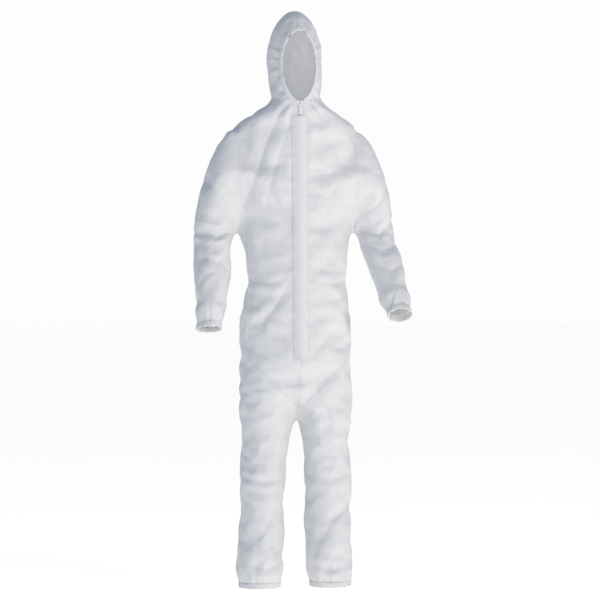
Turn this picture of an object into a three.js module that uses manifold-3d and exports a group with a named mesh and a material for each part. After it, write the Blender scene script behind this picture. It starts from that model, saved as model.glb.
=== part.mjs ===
// Hooded protective coverall, shown standing filled out as on a dress form.
// Millimetres, +Z up, the front faces -Y, the wearer's left is +X.
// Each fabric piece is a closed solid whose outer face is the garment's true outer surface.
import * as THREE from "three";
import { mergeVertices } from "three/addons/utils/BufferGeometryUtils.js";
import Module from "manifold-3d";

const wasm = await Module();
wasm.setup();

// ---- Fabric ----
const WALL = 3; // thickness of the solid that stands for one layer of laminated nonwoven
const SEAM_GAP = 0.3; // clear space between two pieces that are sewn together
const HEM_WIDTH = 15; // elasticated hems at cuffs and ankles
const HEM_THICKNESS = 4.4;
const ELASTIC_WIDTH = 8;
const ELASTIC_THICKNESS = 0.9;

// ---- Trunk ----
const CROTCH_Z = 545;
const HIP_Z = 718; // where the leg seam meets the side of the hip, whose half width is LEG[0][2]
const ARMPIT = { x: 168, z: 1108 };
const SHOULDER = { x: 178, z: 1405 };
const NECK_Z = 1475;
const WAIST_Z = 933;
const FRONT_BEND_Z = 700; // below this the front curves under to the crotch
const FRONT_LOW_Y = -118; // y of the front line at FRONT_BEND_Z
const FRONT_HIGH_Y = -88; // y of the front line at NECK_Z
const CROTCH_Y = 5;
// Height to half width of the trunk.
const TRUNK_WIDTH = [
  [545, 172], [640, 174], [718, 173], [780, 172], [850, 166], [900, 160], [933, 155], [970, 158],
  [1050, 164], [1108, 168], [1150, 181], [1250, 197], [1340, 199], [1380, 191], [1405, 178],
  [1425, 150], [1445, 119], [1460, 92], [1475, 73],
];
// Height to y of the middle of the back.
const TRUNK_BACK = [
  [545, 5], [552, 42], [570, 72], [600, 99], [650, 118], [718, 124], [800, 112], [870, 92],
  [933, 80], [1000, 88], [1108, 106], [1250, 120], [1340, 117], [1405, 98], [1445, 72], [1475, 46],
];

// ---- Legs: height, inner x, outer x, y of the middle, half depth ----
const LEG = [
  [545, 0.2, 173, 0, 95], [515, 8, 172, 2, 94], [447, 17, 166, 4, 87], [385, 25, 168, 3, 80],
  [325, 28, 172, 2, 77], [228, 32, 171, 8, 75], [131, 34, 177, 10, 76], [50, 39, 178, 10, 74],
  [HEM_WIDTH, 46, 171, 10, 69],
];
const KNEE_ROW = 4;

// ---- Sleeves: inner x and z, outer x and z, half depth, from the armhole to the elbow ----
const SLEEVE = [
  [168, 1108, 178, 1405, 60], [174, 1104, 207, 1386, 64], [180, 1100, 240, 1335, 66],
  [185, 1097, 266, 1275, 66], [188, 1093, 285, 1215, 65], [190, 1085, 300, 1145, 62],
  [190, 1064, 308, 1070, 60],
];
// Forearm: share of its length, half width, half depth.
const FOREARM = [[0, 59, 60], [0.3, 56, 56], [0.6, 49, 49], [0.85, 44, 43], [1, 38, 38]];
const FOREARM_LENGTH = 282;
const ARMS = {
  right: { side: -1, lean: 17, spread: 5 }, // degrees forward and degrees outward
  left: { side: 1, lean: 35, spread: 8 },
};

// ---- Hood ----
// Height, half width, y of the front, y of the back.
const HOOD = [
  [1475, 73, -88, 46], [1508, 79, -92, 72], [1557, 81, -94, 97], [1605, 81, -93, 108],
  [1645, 77, -88, 106], [1685, 66, -74, 92], [1715, 51, -55, 72], [1738, 32, -30, 48], [1752, 6, 0, 17],
];
const FACE = { z: 1582, halfWidth: 70, halfHeight: 114 }; // edge of the hood panels at the face
const FACE_HEM_WIDTH = 12;
const FACE_HEM_SWEEP = 155; // degrees each way from the top, so the hem stops each side of the zip

// ---- Zip ----
const ZIP_BOTTOM_Z = 712;
const ZIP_TOP_Z = 1471;
const PANEL_EDGE_X = 9; // from the middle to each front panel's edge along the zip
const COIL = { inner: 0.9, outer: 3, thickness: 2.5 };
const TAPE = { inner: 3.4, outer: 14, thickness: 0.8 };
const SLIDER = { width: 11, length: 16, plate: 1.6, web: 1, gap: 0.4 };
const SLIDER_Z = 1454;
const CROWN = { width: 1.6, length: 7, height: 3, bar: 1 };
const TAB = { width: 7, length: 25, thickness: 1.1, window: 3.4, windowLength: 5 };

// ---- Storm flap ----
const FLAP = { sewn: 21, free: -25, bottom: 697, top: 1424, bulge: 6.8, thickness: 2 };

const COLOURS = {
  fabric: ["#e6e8ea", 0.62],
  inner: ["#c9ccce", 0.7],
  elastic: ["#f1f1ef", 0.8],
  tape: ["#eceded", 0.75],
  nylon: ["#f3f3f2", 0.45],
  slider: ["#e4e6e8", 0.4],
  label: ["#f6f6f4", 0.8],
};
const SIDES = { left: 1, right: -1 };
const suit = new THREE.Group();
suit.name = "protective_suit";

// ---------------------------------------------------------------- helpers

// Smooth curve through rows [place, value, value...], read at a place.
function readRows(rows, place) {
  const rising = rows[rows.length - 1][0] > rows[0][0] ? 1 : -1;
  let i = 0;
  while (i < rows.length - 2 && (place - rows[i + 1][0]) * rising > 0) i++;
  const [before, a, b, after] = [rows[Math.max(i - 1, 0)], rows[i], rows[i + 1], rows[Math.min(i + 2, rows.length - 1)]];
  const span = b[0] - a[0];
  const t = THREE.MathUtils.clamp((place - a[0]) / span, 0, 1);
  return a.slice(1).map((value, k) => {
    const n = k + 1;
    const slopeIn = ((b[n] - before[n]) / (b[0] - before[0])) * span;
    const slopeOut = ((after[n] - a[n]) / (after[0] - a[0])) * span;
    const t2 = t * t;
    const t3 = t2 * t;
    return (2 * t3 - 3 * t2 + 1) * value + (t3 - 2 * t2 + t) * slopeIn
      + (3 * t2 - 2 * t3) * b[n] + (t3 - t2) * slopeOut;
  });
}

// Moves every corner of a geometry and leaves its faces pointing outwards.
function bend(geometry, move) {
  geometry.deleteAttribute("normal");
  geometry.deleteAttribute("uv");
  const bent = mergeVertices(geometry, 1e-5);
  const place = bent.attributes.position;
  const point = new THREE.Vector3();
  for (let i = 0; i < place.count; i++) {
    point.fromBufferAttribute(place, i);
    const moved = move(point.x, point.y, point.z);
    place.setXYZ(i, moved.x, moved.y, moved.z);
  }
  if (signedVolume(bent) < 0) flipFaces(bent);
  bent.computeVertexNormals();
  return bent;
}

function signedVolume(geometry) {
  const place = geometry.attributes.position;
  const index = geometry.index;
  const [a, b, c] = [new THREE.Vector3(), new THREE.Vector3(), new THREE.Vector3()];
  let volume = 0;
  for (let i = 0; i < index.count; i += 3) {
    a.fromBufferAttribute(place, index.getX(i));
    b.fromBufferAttribute(place, index.getX(i + 1));
    c.fromBufferAttribute(place, index.getX(i + 2));
    volume += a.dot(b.cross(c));
  }
  return volume;
}

function flipFaces(geometry) {
  const index = geometry.index;
  for (let i = 0; i < index.count; i += 3) {
    const kept = index.getX(i + 1);
    index.setX(i + 1, index.getX(i + 2));
    index.setX(i + 2, kept);
  }
}

// A box bent so that x runs 0 to 1 across, y 0 to 1 up and z 0 (outside) to 1 (inside).
function panel(columns, rows, move) {
  const box = new THREE.BoxGeometry(1, 1, 1, columns, rows, 1);
  return bend(box, (x, y, z) => move(x + 0.5, y + 0.5, 0.5 - z));
}

// A folded hem's section, open along its low-x edge, swept along a path: x across, y through, 0 to 1 along.
function foldedHem(width, thickness, steps, move) {
  const slot = ELASTIC_THICKNESS / 2 + 0.35;
  const fold = width - 2;
  const outline = new THREE.Shape([
    new THREE.Vector2(0, slot), new THREE.Vector2(fold, slot), new THREE.Vector2(fold, -slot),
    new THREE.Vector2(0, -slot), new THREE.Vector2(0, -thickness / 2), new THREE.Vector2(width, -thickness / 2),
    new THREE.Vector2(width, thickness / 2), new THREE.Vector2(0, thickness / 2),
  ]);
  const swept = new THREE.ExtrudeGeometry(outline, { depth: 1, steps, bevelEnabled: false });
  return bend(swept, move);
}

function addPiece(name, geometry, finish) {
  const [colour, roughness] = COLOURS[finish];
  const material = new THREE.MeshStandardMaterial({ color: colour, roughness, metalness: 0 });
  const mesh = new THREE.Mesh(geometry, material);
  mesh.name = name;
  suit.add(mesh);
}

function toManifold(geometry) {
  geometry.deleteAttribute("normal");
  geometry.deleteAttribute("uv");
  const merged = mergeVertices(geometry, 1e-5);
  return new wasm.Manifold(new wasm.Mesh({
    numProp: 3,
    vertProperties: Float32Array.from(merged.attributes.position.array),
    triVerts: Uint32Array.from(merged.index.array),
  }));
}

function toGeometry(solid) {
  const mesh = solid.getMesh();
  const geometry = new THREE.BufferGeometry();
  geometry.setAttribute("position", new THREE.BufferAttribute(Float32Array.from(mesh.vertProperties), 3));
  geometry.setIndex(new THREE.BufferAttribute(Uint32Array.from(mesh.triVerts), 1));
  geometry.computeVertexNormals();
  return geometry;
}

// A box given by its low and high corners.
function block(low, high) {
  const size = high.map((value, i) => value - low[i]);
  const box = new THREE.BoxGeometry(...size);
  return box.translate(...low.map((value, i) => value + size[i] / 2));
}

// ---------------------------------------------------------------- trunk

// y of the middle of the front. It is one straight line above FRONT_BEND_Z, so the zip runs straight.
function frontY(z) {
  if (z >= FRONT_BEND_Z) {
    return THREE.MathUtils.mapLinear(z, FRONT_BEND_Z, NECK_Z, FRONT_LOW_Y, FRONT_HIGH_Y);
  }
  const drop = (FRONT_BEND_Z - z) / (FRONT_BEND_Z - CROTCH_Z);
  return CROTCH_Y + (FRONT_LOW_Y - CROTCH_Y) * Math.sqrt(Math.max(1 - drop * drop, 0));
}

function trunkRing(z) {
  const [halfWidth] = readRows(TRUNK_WIDTH, z);
  const [back] = readRows(TRUNK_BACK, z);
  const front = frontY(z);
  return { halfWidth, middle: (back + front) / 2, halfDepth: Math.max((back - front) / 2, 0.01) };
}

// Point on the trunk: angle 0 is the middle of the front, 90 degrees the wearer's left side.
function trunkPoint(angle, z) {
  const ring = trunkRing(z);
  return new THREE.Vector3(
    ring.halfWidth * Math.sin(angle),
    ring.middle - ring.halfDepth * Math.cos(angle),
    z,
  );
}

// The same, a distance inside the outer surface.
function trunkInside(angle, z, depth) {
  const step = 0.01;
  const low = Math.max(z - 2, CROTCH_Z + 3);
  const high = Math.min(z + 2, NECK_Z);
  const around = trunkPoint(angle + step, z).sub(trunkPoint(angle - step, z));
  const up = trunkPoint(angle, high).sub(trunkPoint(angle, low));
  const outward = around.cross(up).normalize();
  return trunkPoint(angle, z).addScaledVector(outward, -depth);
}

// Half depth of the trunk at a distance from its middle plane.
function trunkSpread(x, z) {
  const ring = trunkRing(z);
  return ring.halfDepth * Math.sqrt(Math.max(1 - (x / ring.halfWidth) ** 2, 0));
}

// How far a trunk panel reaches sideways: to the side seam, the armhole or the leg seam.
function trunkReach(z) {
  const armhole = THREE.MathUtils.mapLinear(z, ARMPIT.z, SHOULDER.z, ARMPIT.x, SHOULDER.x);
  const groin = THREE.MathUtils.mapLinear(z, CROTCH_Z, HIP_Z, 0, LEG[0][2]);
  let reach = trunkRing(z).halfWidth;
  if (z > ARMPIT.z && z < SHOULDER.z) reach = Math.min(reach, armhole);
  if (z < HIP_Z) reach = Math.min(reach, groin);
  return reach;
}

// Heights of the trunk panels' rows of corners.
const PANEL_HEIGHTS = [
  548.5, 556, 570, 595, 630, 672, 704, 713, 717, HIP_Z, 760, 820, 880, WAIST_Z - 14, WAIST_Z, WAIST_Z + 14, 985,
  1045, ARMPIT.z, 1113, 1130, 1200, 1270, 1335, 1378, 1397, SHOULDER.z, 1424, 1442, 1458, NECK_Z,
];
const PANEL_COLUMNS = 5;

// First and last angle of a trunk panel at a height, from the middle of the front or back.
function panelSpan(face, z) {
  const ring = trunkRing(z);
  const middleGap = face === "front" && z > ZIP_BOTTOM_Z ? PANEL_EDGE_X : SEAM_GAP / 2;
  const start = Math.asin(middleGap / ring.halfWidth);
  const seam = SEAM_GAP / 2 / Math.max(ring.halfDepth, 20);
  const end = Math.max(Math.asin(trunkReach(z) / ring.halfWidth) - seam, start + 0.004);
  return [start, end];
}

// Point on or under a trunk panel, at a number of columns from its middle edge, flat between columns.
function panelPoint(sign, face, column, z, depth) {
  const [start, end] = panelSpan(face, z);
  const corner = (n) => {
    const quarter = start + ((end - start) * n) / PANEL_COLUMNS;
    return trunkInside(sign * (face === "front" ? quarter : Math.PI - quarter), z, depth);
  };
  const low = THREE.MathUtils.clamp(Math.floor(column), 0, PANEL_COLUMNS - 1);
  return corner(low).lerp(corner(low + 1), column - low);
}

// The same at a distance from the trunk's middle plane.
function underPanel(sign, face, x, z, depth) {
  const [start, end] = panelSpan(face, z);
  const angle = Math.asin(x / trunkRing(z).halfWidth);
  return panelPoint(sign, face, ((angle - start) / (end - start)) * PANEL_COLUMNS, z, depth);
}

function addTrunkPanels() {
  const last = PANEL_HEIGHTS.length - 1;
  for (const [side, sign] of Object.entries(SIDES)) {
    for (const face of ["front", "back"]) {
      const shape = panel(PANEL_COLUMNS, last, (u, v, w) => {
        const z = PANEL_HEIGHTS[Math.round(v * last)];
        return panelPoint(sign, face, Math.round(u * PANEL_COLUMNS), z, w * WALL);
      });
      addPiece(`${side}_${face}_panel`, shape, "fabric");
    }
  }
}

// Elastic sewn inside the waist, round the back from one side of the front to the other.
function addWaistElastic() {
  const layers = [
    ["waist_elastic", WALL + 2 * SEAM_GAP, ELASTIC_THICKNESS, 9, "elastic"],
    ["waist_casing", WALL + 4 * SEAM_GAP + ELASTIC_THICKNESS, 0.9, 13, "inner"],
  ];
  const firstColumn = 2;
  const perSide = 2 * PANEL_COLUMNS - firstColumn;
  for (const [name, depth, thickness, halfHeight, finish] of layers) {
    const shape = panel(2 * perSide, 2, (u, v, w) => {
      const step = Math.round(u * 2 * perSide) - perSide;
      const fromBack = Math.abs(step);
      const sign = step < 0 ? 1 : -1;
      const z = WAIST_Z + (v * 2 - 1) * halfHeight;
      if (fromBack <= PANEL_COLUMNS) return panelPoint(sign, "back", fromBack, z, depth + w * thickness);
      return panelPoint(sign, "front", 2 * PANEL_COLUMNS - fromBack, z, depth + w * thickness);
    });
    addPiece(name, shape, finish);
  }
}

// Blank label sewn inside the back of the neck, on the left back panel.
function addSizeLabel() {
  const label = { inner: 2, width: 30, thickness: 0.5 };
  const heights = [SHOULDER.z, 1424, 1442, 1456];
  const shape = panel(2, heights.length - 1, (u, v, w) => {
    const z = heights[Math.round(v * (heights.length - 1))];
    const x = label.inner + u * label.width;
    return underPanel(1, "back", x, z, WALL + SEAM_GAP + w * label.thickness);
  });
  addPiece("size_label", shape, "label");
}

// ---------------------------------------------------------------- legs

// Point on a leg: angle 0 is the inseam, 90 degrees the front, 180 degrees the outside.
function legPoint(row, angle, inset) {
  const [z, inner, outer, middle, halfDepth] = LEG[row];
  const across = (1 - Math.cos(angle)) / 2;
  const x = inner + (outer - inner) * across;
  const centre = new THREE.Vector3((inner + outer) / 2, middle, z);
  const point = new THREE.Vector3(x, middle - halfDepth * Math.sin(angle), z);
  if (row === 0) {
    const rise = (HIP_Z - CROTCH_Z) / LEG[0][2];
    point.z = CROTCH_Z + x * rise - SEAM_GAP;
    centre.z = CROTCH_Z + centre.x * rise - SEAM_GAP;
    const ring = trunkRing(point.z);
    point.y = ring.middle - Math.sign(Math.sin(angle)) * trunkSpread(x, point.z);
    centre.y = 0;
  }
  const inward = centre.sub(point).normalize();
  return point.addScaledVector(inward, inset);
}

// A point a share of the way between two leg rows.
function betweenRows(rowPoint, row, angle, inset) {
  const low = Math.floor(row);
  const share = row - low;
  const here = rowPoint(low, angle, inset);
  return share < 1e-6 ? here : here.lerp(rowPoint(low + 1, angle, inset), share);
}

function addLegs() {
  const last = LEG.length - 1;
  const parts = { thigh: [0, KNEE_ROW - 0.003], shin: [KNEE_ROW, last] };
  for (const [side, sign] of Object.entries(SIDES)) {
    for (const [part, [top, bottom]] of Object.entries(parts)) {
      for (const [face, turn] of [["front", 1], ["back", -1]]) {
        const rows = Math.round(bottom - top);
        const shape = panel(9, rows, (u, v, w) => {
          const row = top + (bottom - top) * (1 - v);
          const seam = SEAM_GAP / 2 / 70;
          const angle = turn * (seam + (Math.PI - 2 * seam) * u);
          const point = betweenRows(legPoint, row, angle, w * WALL);
          return point.setX(sign * point.x);
        });
        addPiece(`${side}_${part}_${face}`, shape, "fabric");
      }
    }
    addAnkle(side, sign);
  }
}

function addAnkle(side, sign) {
  const [, inner, outer, middle, halfDepth] = LEG[LEG.length - 1];
  const centre = (inner + outer) / 2;
  const halfWidth = (outer - inner) / 2;
  const round = (drop, out, turn) => {
    const angle = turn * Math.PI * 2;
    const x = centre - (halfWidth - HEM_THICKNESS / 2 + out) * Math.cos(angle);
    const y = middle - (halfDepth - HEM_THICKNESS / 2 + out) * Math.sin(angle);
    return new THREE.Vector3(sign * x, y, HEM_WIDTH - SEAM_GAP - drop);
  };
  const hem = foldedHem(HEM_WIDTH - SEAM_GAP, HEM_THICKNESS, 24, (x, y, z) => round(x, y, 0.0004 + z * 0.9992));
  addPiece(`${side}_ankle_hem`, hem, "fabric");
  const elastic = panel(24, 1, (u, v, w) => round(
    3 + v * ELASTIC_WIDTH, (0.5 - w) * ELASTIC_THICKNESS, 0.0006 + u * 0.9988,
  ));
  addPiece(`${side}_ankle_elastic`, elastic, "elastic");
}

// ---------------------------------------------------------------- sleeves

// Point on an upper sleeve: angle 0 is the underarm, 90 degrees the front, 180 degrees the top.
function sleevePoint(row, angle, inset) {
  const [innerX, innerZ, outerX, outerZ, halfDepth] = SLEEVE[row];
  const across = (1 - Math.cos(angle)) / 2;
  const point = new THREE.Vector3(
    innerX + (outerX - innerX) * across,
    -halfDepth * Math.sin(angle),
    innerZ + (outerZ - innerZ) * across,
  );
  const centre = new THREE.Vector3((innerX + outerX) / 2, 0, (innerZ + outerZ) / 2);
  if (row === 0) {
    const ring = trunkRing(point.z);
    point.y = ring.middle - Math.sign(Math.sin(angle)) * trunkSpread(point.x, point.z);
    point.x += SEAM_GAP;
    centre.x += SEAM_GAP;
    centre.y = ring.middle;
  }
  const inward = centre.sub(point).normalize();
  return point.addScaledVector(inward, inset);
}

function forearmFrame(arm) {
  const lean = THREE.MathUtils.degToRad(arm.lean);
  const spread = THREE.MathUtils.degToRad(arm.spread);
  const along = new THREE.Vector3(Math.sin(spread), -Math.sin(lean), -Math.cos(lean)).normalize();
  const [innerX, innerZ, outerX, outerZ] = SLEEVE[SLEEVE.length - 1];
  const elbow = new THREE.Vector3((innerX + outerX) / 2, 0, (innerZ + outerZ) / 2);
  return { lean, along, elbow, tilt: Math.atan2(outerZ - innerZ, outerX - innerX) };
}

// Point on a forearm at a share of its length, or past its end by a distance.
function forearmPoint(arm, share, angle, inset, past = 0) {
  const frame = forearmFrame(arm);
  const [halfWidth, halfDepth] = readRows(FOREARM, share);
  const turn = Math.min(share * 1.6, 1);
  const across = new THREE.Vector3(1, 0, 0);
  across.applyAxisAngle(new THREE.Vector3(0, 1, 0), -frame.tilt * (1 - turn));
  const forward = new THREE.Vector3(0, -Math.cos(frame.lean * turn), Math.sin(frame.lean * turn));
  return frame.elbow.clone()
    .addScaledVector(frame.along, share * FOREARM_LENGTH + past)
    .addScaledVector(across, -(halfWidth - inset) * Math.cos(angle))
    .addScaledVector(forward, (halfDepth - inset) * Math.sin(angle));
}

function addArms() {
  const seam = SEAM_GAP / 2 / 60;
  const around = (u) => seam + (Math.PI * 2 - 2 * seam) * u;
  for (const [side, arm] of Object.entries(ARMS)) {
    const last = SLEEVE.length - 1;
    const upper = panel(18, last, (u, v, w) => {
      const point = betweenRows(sleevePoint, last * (1 - v), around(u), w * WALL);
      return point.setX(arm.side * point.x);
    });
    addPiece(`${side}_upper_sleeve`, upper, "fabric");
    const forearm = panel(18, 6, (u, v, w) => {
      const share = SEAM_GAP / FOREARM_LENGTH + (1 - v) * (1 - SEAM_GAP / FOREARM_LENGTH);
      const point = forearmPoint(arm, share, around(u), w * WALL);
      return point.setX(arm.side * point.x);
    });
    addPiece(`${side}_forearm_sleeve`, forearm, "fabric");
    addCuff(side, arm);
  }
}

function addCuff(side, arm) {
  const round = (past, out, turn) => {
    const point = forearmPoint(arm, 1, turn * Math.PI * 2, HEM_THICKNESS / 2 - out, past + SEAM_GAP);
    return point.setX(arm.side * point.x);
  };
  const hem = foldedHem(HEM_WIDTH, HEM_THICKNESS, 20, (x, y, z) => round(x, y, 0.0007 + z * 0.9986));
  addPiece(`${side}_cuff_hem`, hem, "fabric");
  const elastic = panel(20, 1, (u, v, w) => round(
    3 + v * ELASTIC_WIDTH, (0.5 - w) * ELASTIC_THICKNESS, 0.001 + u * 0.998,
  ));
  addPiece(`${side}_cuff_elastic`, elastic, "elastic");
}

// ---------------------------------------------------------------- hood

function hoodPoint(angle, z) {
  const [halfWidth, front, back] = readRows(HOOD, z);
  const y = (front + back) / 2 - ((back - front) / 2) * Math.cos(angle);
  return new THREE.Vector3(halfWidth * Math.sin(angle), y, z);
}

function hoodInside(angle, z, depth) {
  const top = HOOD[HOOD.length - 1][0];
  const around = hoodPoint(angle + 0.01, z).sub(hoodPoint(angle - 0.01, z));
  const up = hoodPoint(angle, Math.min(z + 2, top)).sub(hoodPoint(angle, Math.max(z - 2, NECK_Z)));
  const outward = around.cross(up).normalize();
  return hoodPoint(angle, z).addScaledVector(outward, -depth);
}

// Angle on the hood at which the face opening's edge lies, zero above the opening.
function faceAngle(z) {
  const rise = (z - FACE.z) / FACE.halfHeight;
  const halfWidth = FACE.halfWidth * Math.sqrt(Math.max(1 - rise * rise, 0));
  return Math.asin(halfWidth / readRows(HOOD, z)[0]);
}

function addHood() {
  const heights = [
    NECK_Z + SEAM_GAP, 1482, 1500, 1525, 1557, 1590, 1620, 1645, 1668, 1684, 1693, 1698, 1712, 1727, 1740, 1748, 1751.5,
  ];
  for (const [side, sign] of Object.entries(SIDES)) {
    const shape = panel(8, heights.length - 1, (u, v, w) => {
      const z = heights[Math.round(v * (heights.length - 1))];
      const seam = SEAM_GAP / 2 / readRows(HOOD, z)[0];
      const start = Math.max(faceAngle(z), seam);
      const angle = start + (Math.PI - seam - start) * u;
      return hoodInside(sign * angle, z, w * WALL);
    });
    addPiece(`hood_${side}_panel`, shape, "fabric");
  }
  addFaceHem();
}

// Elasticated hem round the face opening, stopping each side of the zip's top.
function addFaceHem() {
  const sweep = THREE.MathUtils.degToRad(FACE_HEM_SWEEP);
  const onHood = (across, out, turn) => {
    const angle = (turn * 2 - 1) * sweep;
    const reach = across + SEAM_GAP + 0.5;
    const x = (FACE.halfWidth - reach) * Math.sin(angle);
    const z = FACE.z + (FACE.halfHeight - reach) * Math.cos(angle);
    const around = Math.asin(x / readRows(HOOD, z)[0]);
    return hoodInside(around, z, HEM_THICKNESS / 2 - out);
  };
  const round = (across, out, turn) => {
    const lip = onHood(FACE_HEM_WIDTH, out, turn);
    return onHood(0, out, turn).lerp(lip, across / FACE_HEM_WIDTH);
  };
  const hem = foldedHem(FACE_HEM_WIDTH, HEM_THICKNESS, 34, (x, y, z) => round(x, y, z));
  addPiece("hood_face_hem", hem, "fabric");
  const elastic = panel(34, 1, (u, v, w) => round(3 + v * 4, (0.5 - w) * 0.6, u));
  addPiece("hood_face_elastic", elastic, "elastic");
}

// ---------------------------------------------------------------- zip and storm flap

// Frame along the front line: x across, y out of the front, z up from FRONT_BEND_Z.
const FRONT_TILT = Math.atan2(FRONT_HIGH_Y - FRONT_LOW_Y, NECK_Z - FRONT_BEND_Z);

function onFront(x, out, z) {
  const along = (z - FRONT_BEND_Z) / Math.cos(FRONT_TILT);
  return new THREE.Vector3(
    x,
    FRONT_LOW_Y + along * Math.sin(FRONT_TILT) - out * Math.cos(FRONT_TILT),
    FRONT_BEND_Z + along * Math.cos(FRONT_TILT) + out * Math.sin(FRONT_TILT),
  );
}

function addZip() {
  const depth = 0.6;
  for (const [side, sign] of Object.entries(SIDES)) {
    const tape = panel(1, 24, (u, v, w) => {
      const z = THREE.MathUtils.lerp(ZIP_BOTTOM_Z + 1, ZIP_TOP_Z, v);
      const x = THREE.MathUtils.lerp(TAPE.inner, TAPE.outer, u);
      return underPanel(sign, "front", x, z, WALL + SEAM_GAP + w * TAPE.thickness);
    });
    addPiece(`zip_tape_${side}`, tape, "tape");
    const coil = panel(1, 6, (u, v, w) => onFront(
      sign * THREE.MathUtils.lerp(COIL.inner, COIL.outer, u),
      -depth - w * COIL.thickness,
      THREE.MathUtils.lerp(ZIP_BOTTOM_Z + 5, ZIP_TOP_Z - 5, v),
    ));
    addPiece(`zip_coil_${side}`, coil, "nylon");
    const stop = panel(1, 1, (u, v, w) => onFront(
      sign * THREE.MathUtils.lerp(COIL.inner, COIL.outer + 0.2, u),
      -depth + 0.2 - w * (COIL.thickness + 0.2),
      THREE.MathUtils.lerp(ZIP_TOP_Z - 4.7, ZIP_TOP_Z - 1.5, v),
    ));
    addPiece(`zip_top_stop_${side}`, stop, "nylon");
  }
  const stop = panel(1, 1, (u, v, w) => onFront(
    THREE.MathUtils.lerp(-COIL.outer, COIL.outer, u),
    -depth + 0.3 - w * (COIL.thickness + 0.3),
    THREE.MathUtils.lerp(ZIP_BOTTOM_Z, ZIP_BOTTOM_Z + 4.7, v),
  ));
  addPiece("zip_bottom_stop", stop, "nylon");
}

function addSlider() {
  const front = -0.6 + SLIDER.gap;
  const back = -(WALL + SEAM_GAP + TAPE.thickness + SLIDER.gap + 0.1);
  const half = { x: SLIDER.width / 2, z: SLIDER.length / 2 };
  const top = front + SLIDER.plate;
  const arch = top + CROWN.height;
  const parts = [
    block([-half.x, front, -half.z], [half.x, top, half.z]),
    block([-half.x, back - SLIDER.plate, -half.z], [half.x, back, half.z]),
    block([-SLIDER.web / 2, back - 0.5, half.z - 6], [SLIDER.web / 2, front + 0.5, half.z]),
    block([-CROWN.width / 2, top - 0.5, CROWN.length / 2 - 1.1], [CROWN.width / 2, arch, CROWN.length / 2]),
    block([-CROWN.width / 2, top - 0.5, -CROWN.length / 2], [CROWN.width / 2, arch, 1.1 - CROWN.length / 2]),
    block([-CROWN.width / 2, arch - CROWN.bar, -CROWN.length / 2], [CROWN.width / 2, arch, CROWN.length / 2]),
  ].map(toManifold);
  const solid = parts.slice(1).reduce((sum, part) => sum.add(part), parts[0]);
  const shape = bend(toGeometry(solid), (x, y, z) => onFront(x, y, SLIDER_Z + z));
  addPiece("zip_slider", shape, "slider");
  addPullTab(top + (CROWN.height - CROWN.bar) / 2);
}

// Pull tab hanging from the slider's crown, with a window whose top bar passes under the crown.
function addPullTab(out) {
  const halfWidth = TAB.width / 2;
  const bar = TAB.thickness / 2;
  const outline = new THREE.Shape();
  outline.moveTo(-halfWidth + 1, bar);
  outline.lineTo(halfWidth - 1, bar);
  outline.lineTo(halfWidth, bar - 1.2);
  outline.lineTo(halfWidth, bar - TAB.length + 3);
  outline.absarc(0, bar - TAB.length + 3, halfWidth, 0, -Math.PI, true);
  outline.lineTo(-halfWidth, bar - 1.2);
  const half = TAB.window / 2;
  outline.holes.push(new THREE.Path([
    new THREE.Vector2(-half, -bar), new THREE.Vector2(-half, -bar - TAB.windowLength),
    new THREE.Vector2(half, -bar - TAB.windowLength), new THREE.Vector2(half, -bar),
  ]));
  const plate = new THREE.ExtrudeGeometry(outline, { depth: TAB.thickness, bevelEnabled: false, curveSegments: 10 });
  const shape = bend(plate, (x, y, z) => onFront(x, out + z - TAB.thickness / 2, SLIDER_Z + y));
  addPiece("pull_tab", shape, "slider");
}

// Storm flap sewn to the left front panel, arched over the zip with its free edge on the right.
function addStormFlap() {
  const shape = panel(8, 12, (u, v, w) => {
    const x = THREE.MathUtils.lerp(FLAP.sewn, FLAP.free, u);
    const lift = FLAP.bulge * Math.sin(Math.PI * u) ** 0.8 - 0.35 * u - 0.5;
    const z = THREE.MathUtils.lerp(FLAP.bottom, FLAP.top, v);
    return onFront(x, lift + (1 - w) * FLAP.thickness, z);
  });
  addPiece("storm_flap", shape, "fabric");
}

addTrunkPanels();
addWaistElastic();
addSizeLabel();
addZip();
addSlider();
addStormFlap();
addHood();
addArms();
addLegs();

export default suit;
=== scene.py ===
import bpy, bmesh, math
import numpy as np
from functools import partial
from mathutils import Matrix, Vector, noise
from mathutils.bvhtree import BVHTree


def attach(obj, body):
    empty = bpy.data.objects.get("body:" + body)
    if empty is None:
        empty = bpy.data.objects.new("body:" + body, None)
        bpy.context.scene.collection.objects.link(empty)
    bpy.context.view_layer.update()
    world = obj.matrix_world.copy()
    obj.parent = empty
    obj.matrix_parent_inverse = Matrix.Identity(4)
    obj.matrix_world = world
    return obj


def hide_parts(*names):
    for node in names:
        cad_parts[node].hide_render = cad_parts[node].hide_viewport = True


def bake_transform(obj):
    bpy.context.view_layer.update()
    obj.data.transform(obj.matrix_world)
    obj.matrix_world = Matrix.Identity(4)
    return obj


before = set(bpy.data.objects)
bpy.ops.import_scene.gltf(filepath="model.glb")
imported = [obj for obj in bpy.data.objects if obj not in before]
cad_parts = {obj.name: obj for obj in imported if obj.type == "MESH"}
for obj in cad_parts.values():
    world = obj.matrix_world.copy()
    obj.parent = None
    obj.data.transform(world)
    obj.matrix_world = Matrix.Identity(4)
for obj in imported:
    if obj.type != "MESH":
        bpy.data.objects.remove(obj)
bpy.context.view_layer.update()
MM = 0.001

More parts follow.
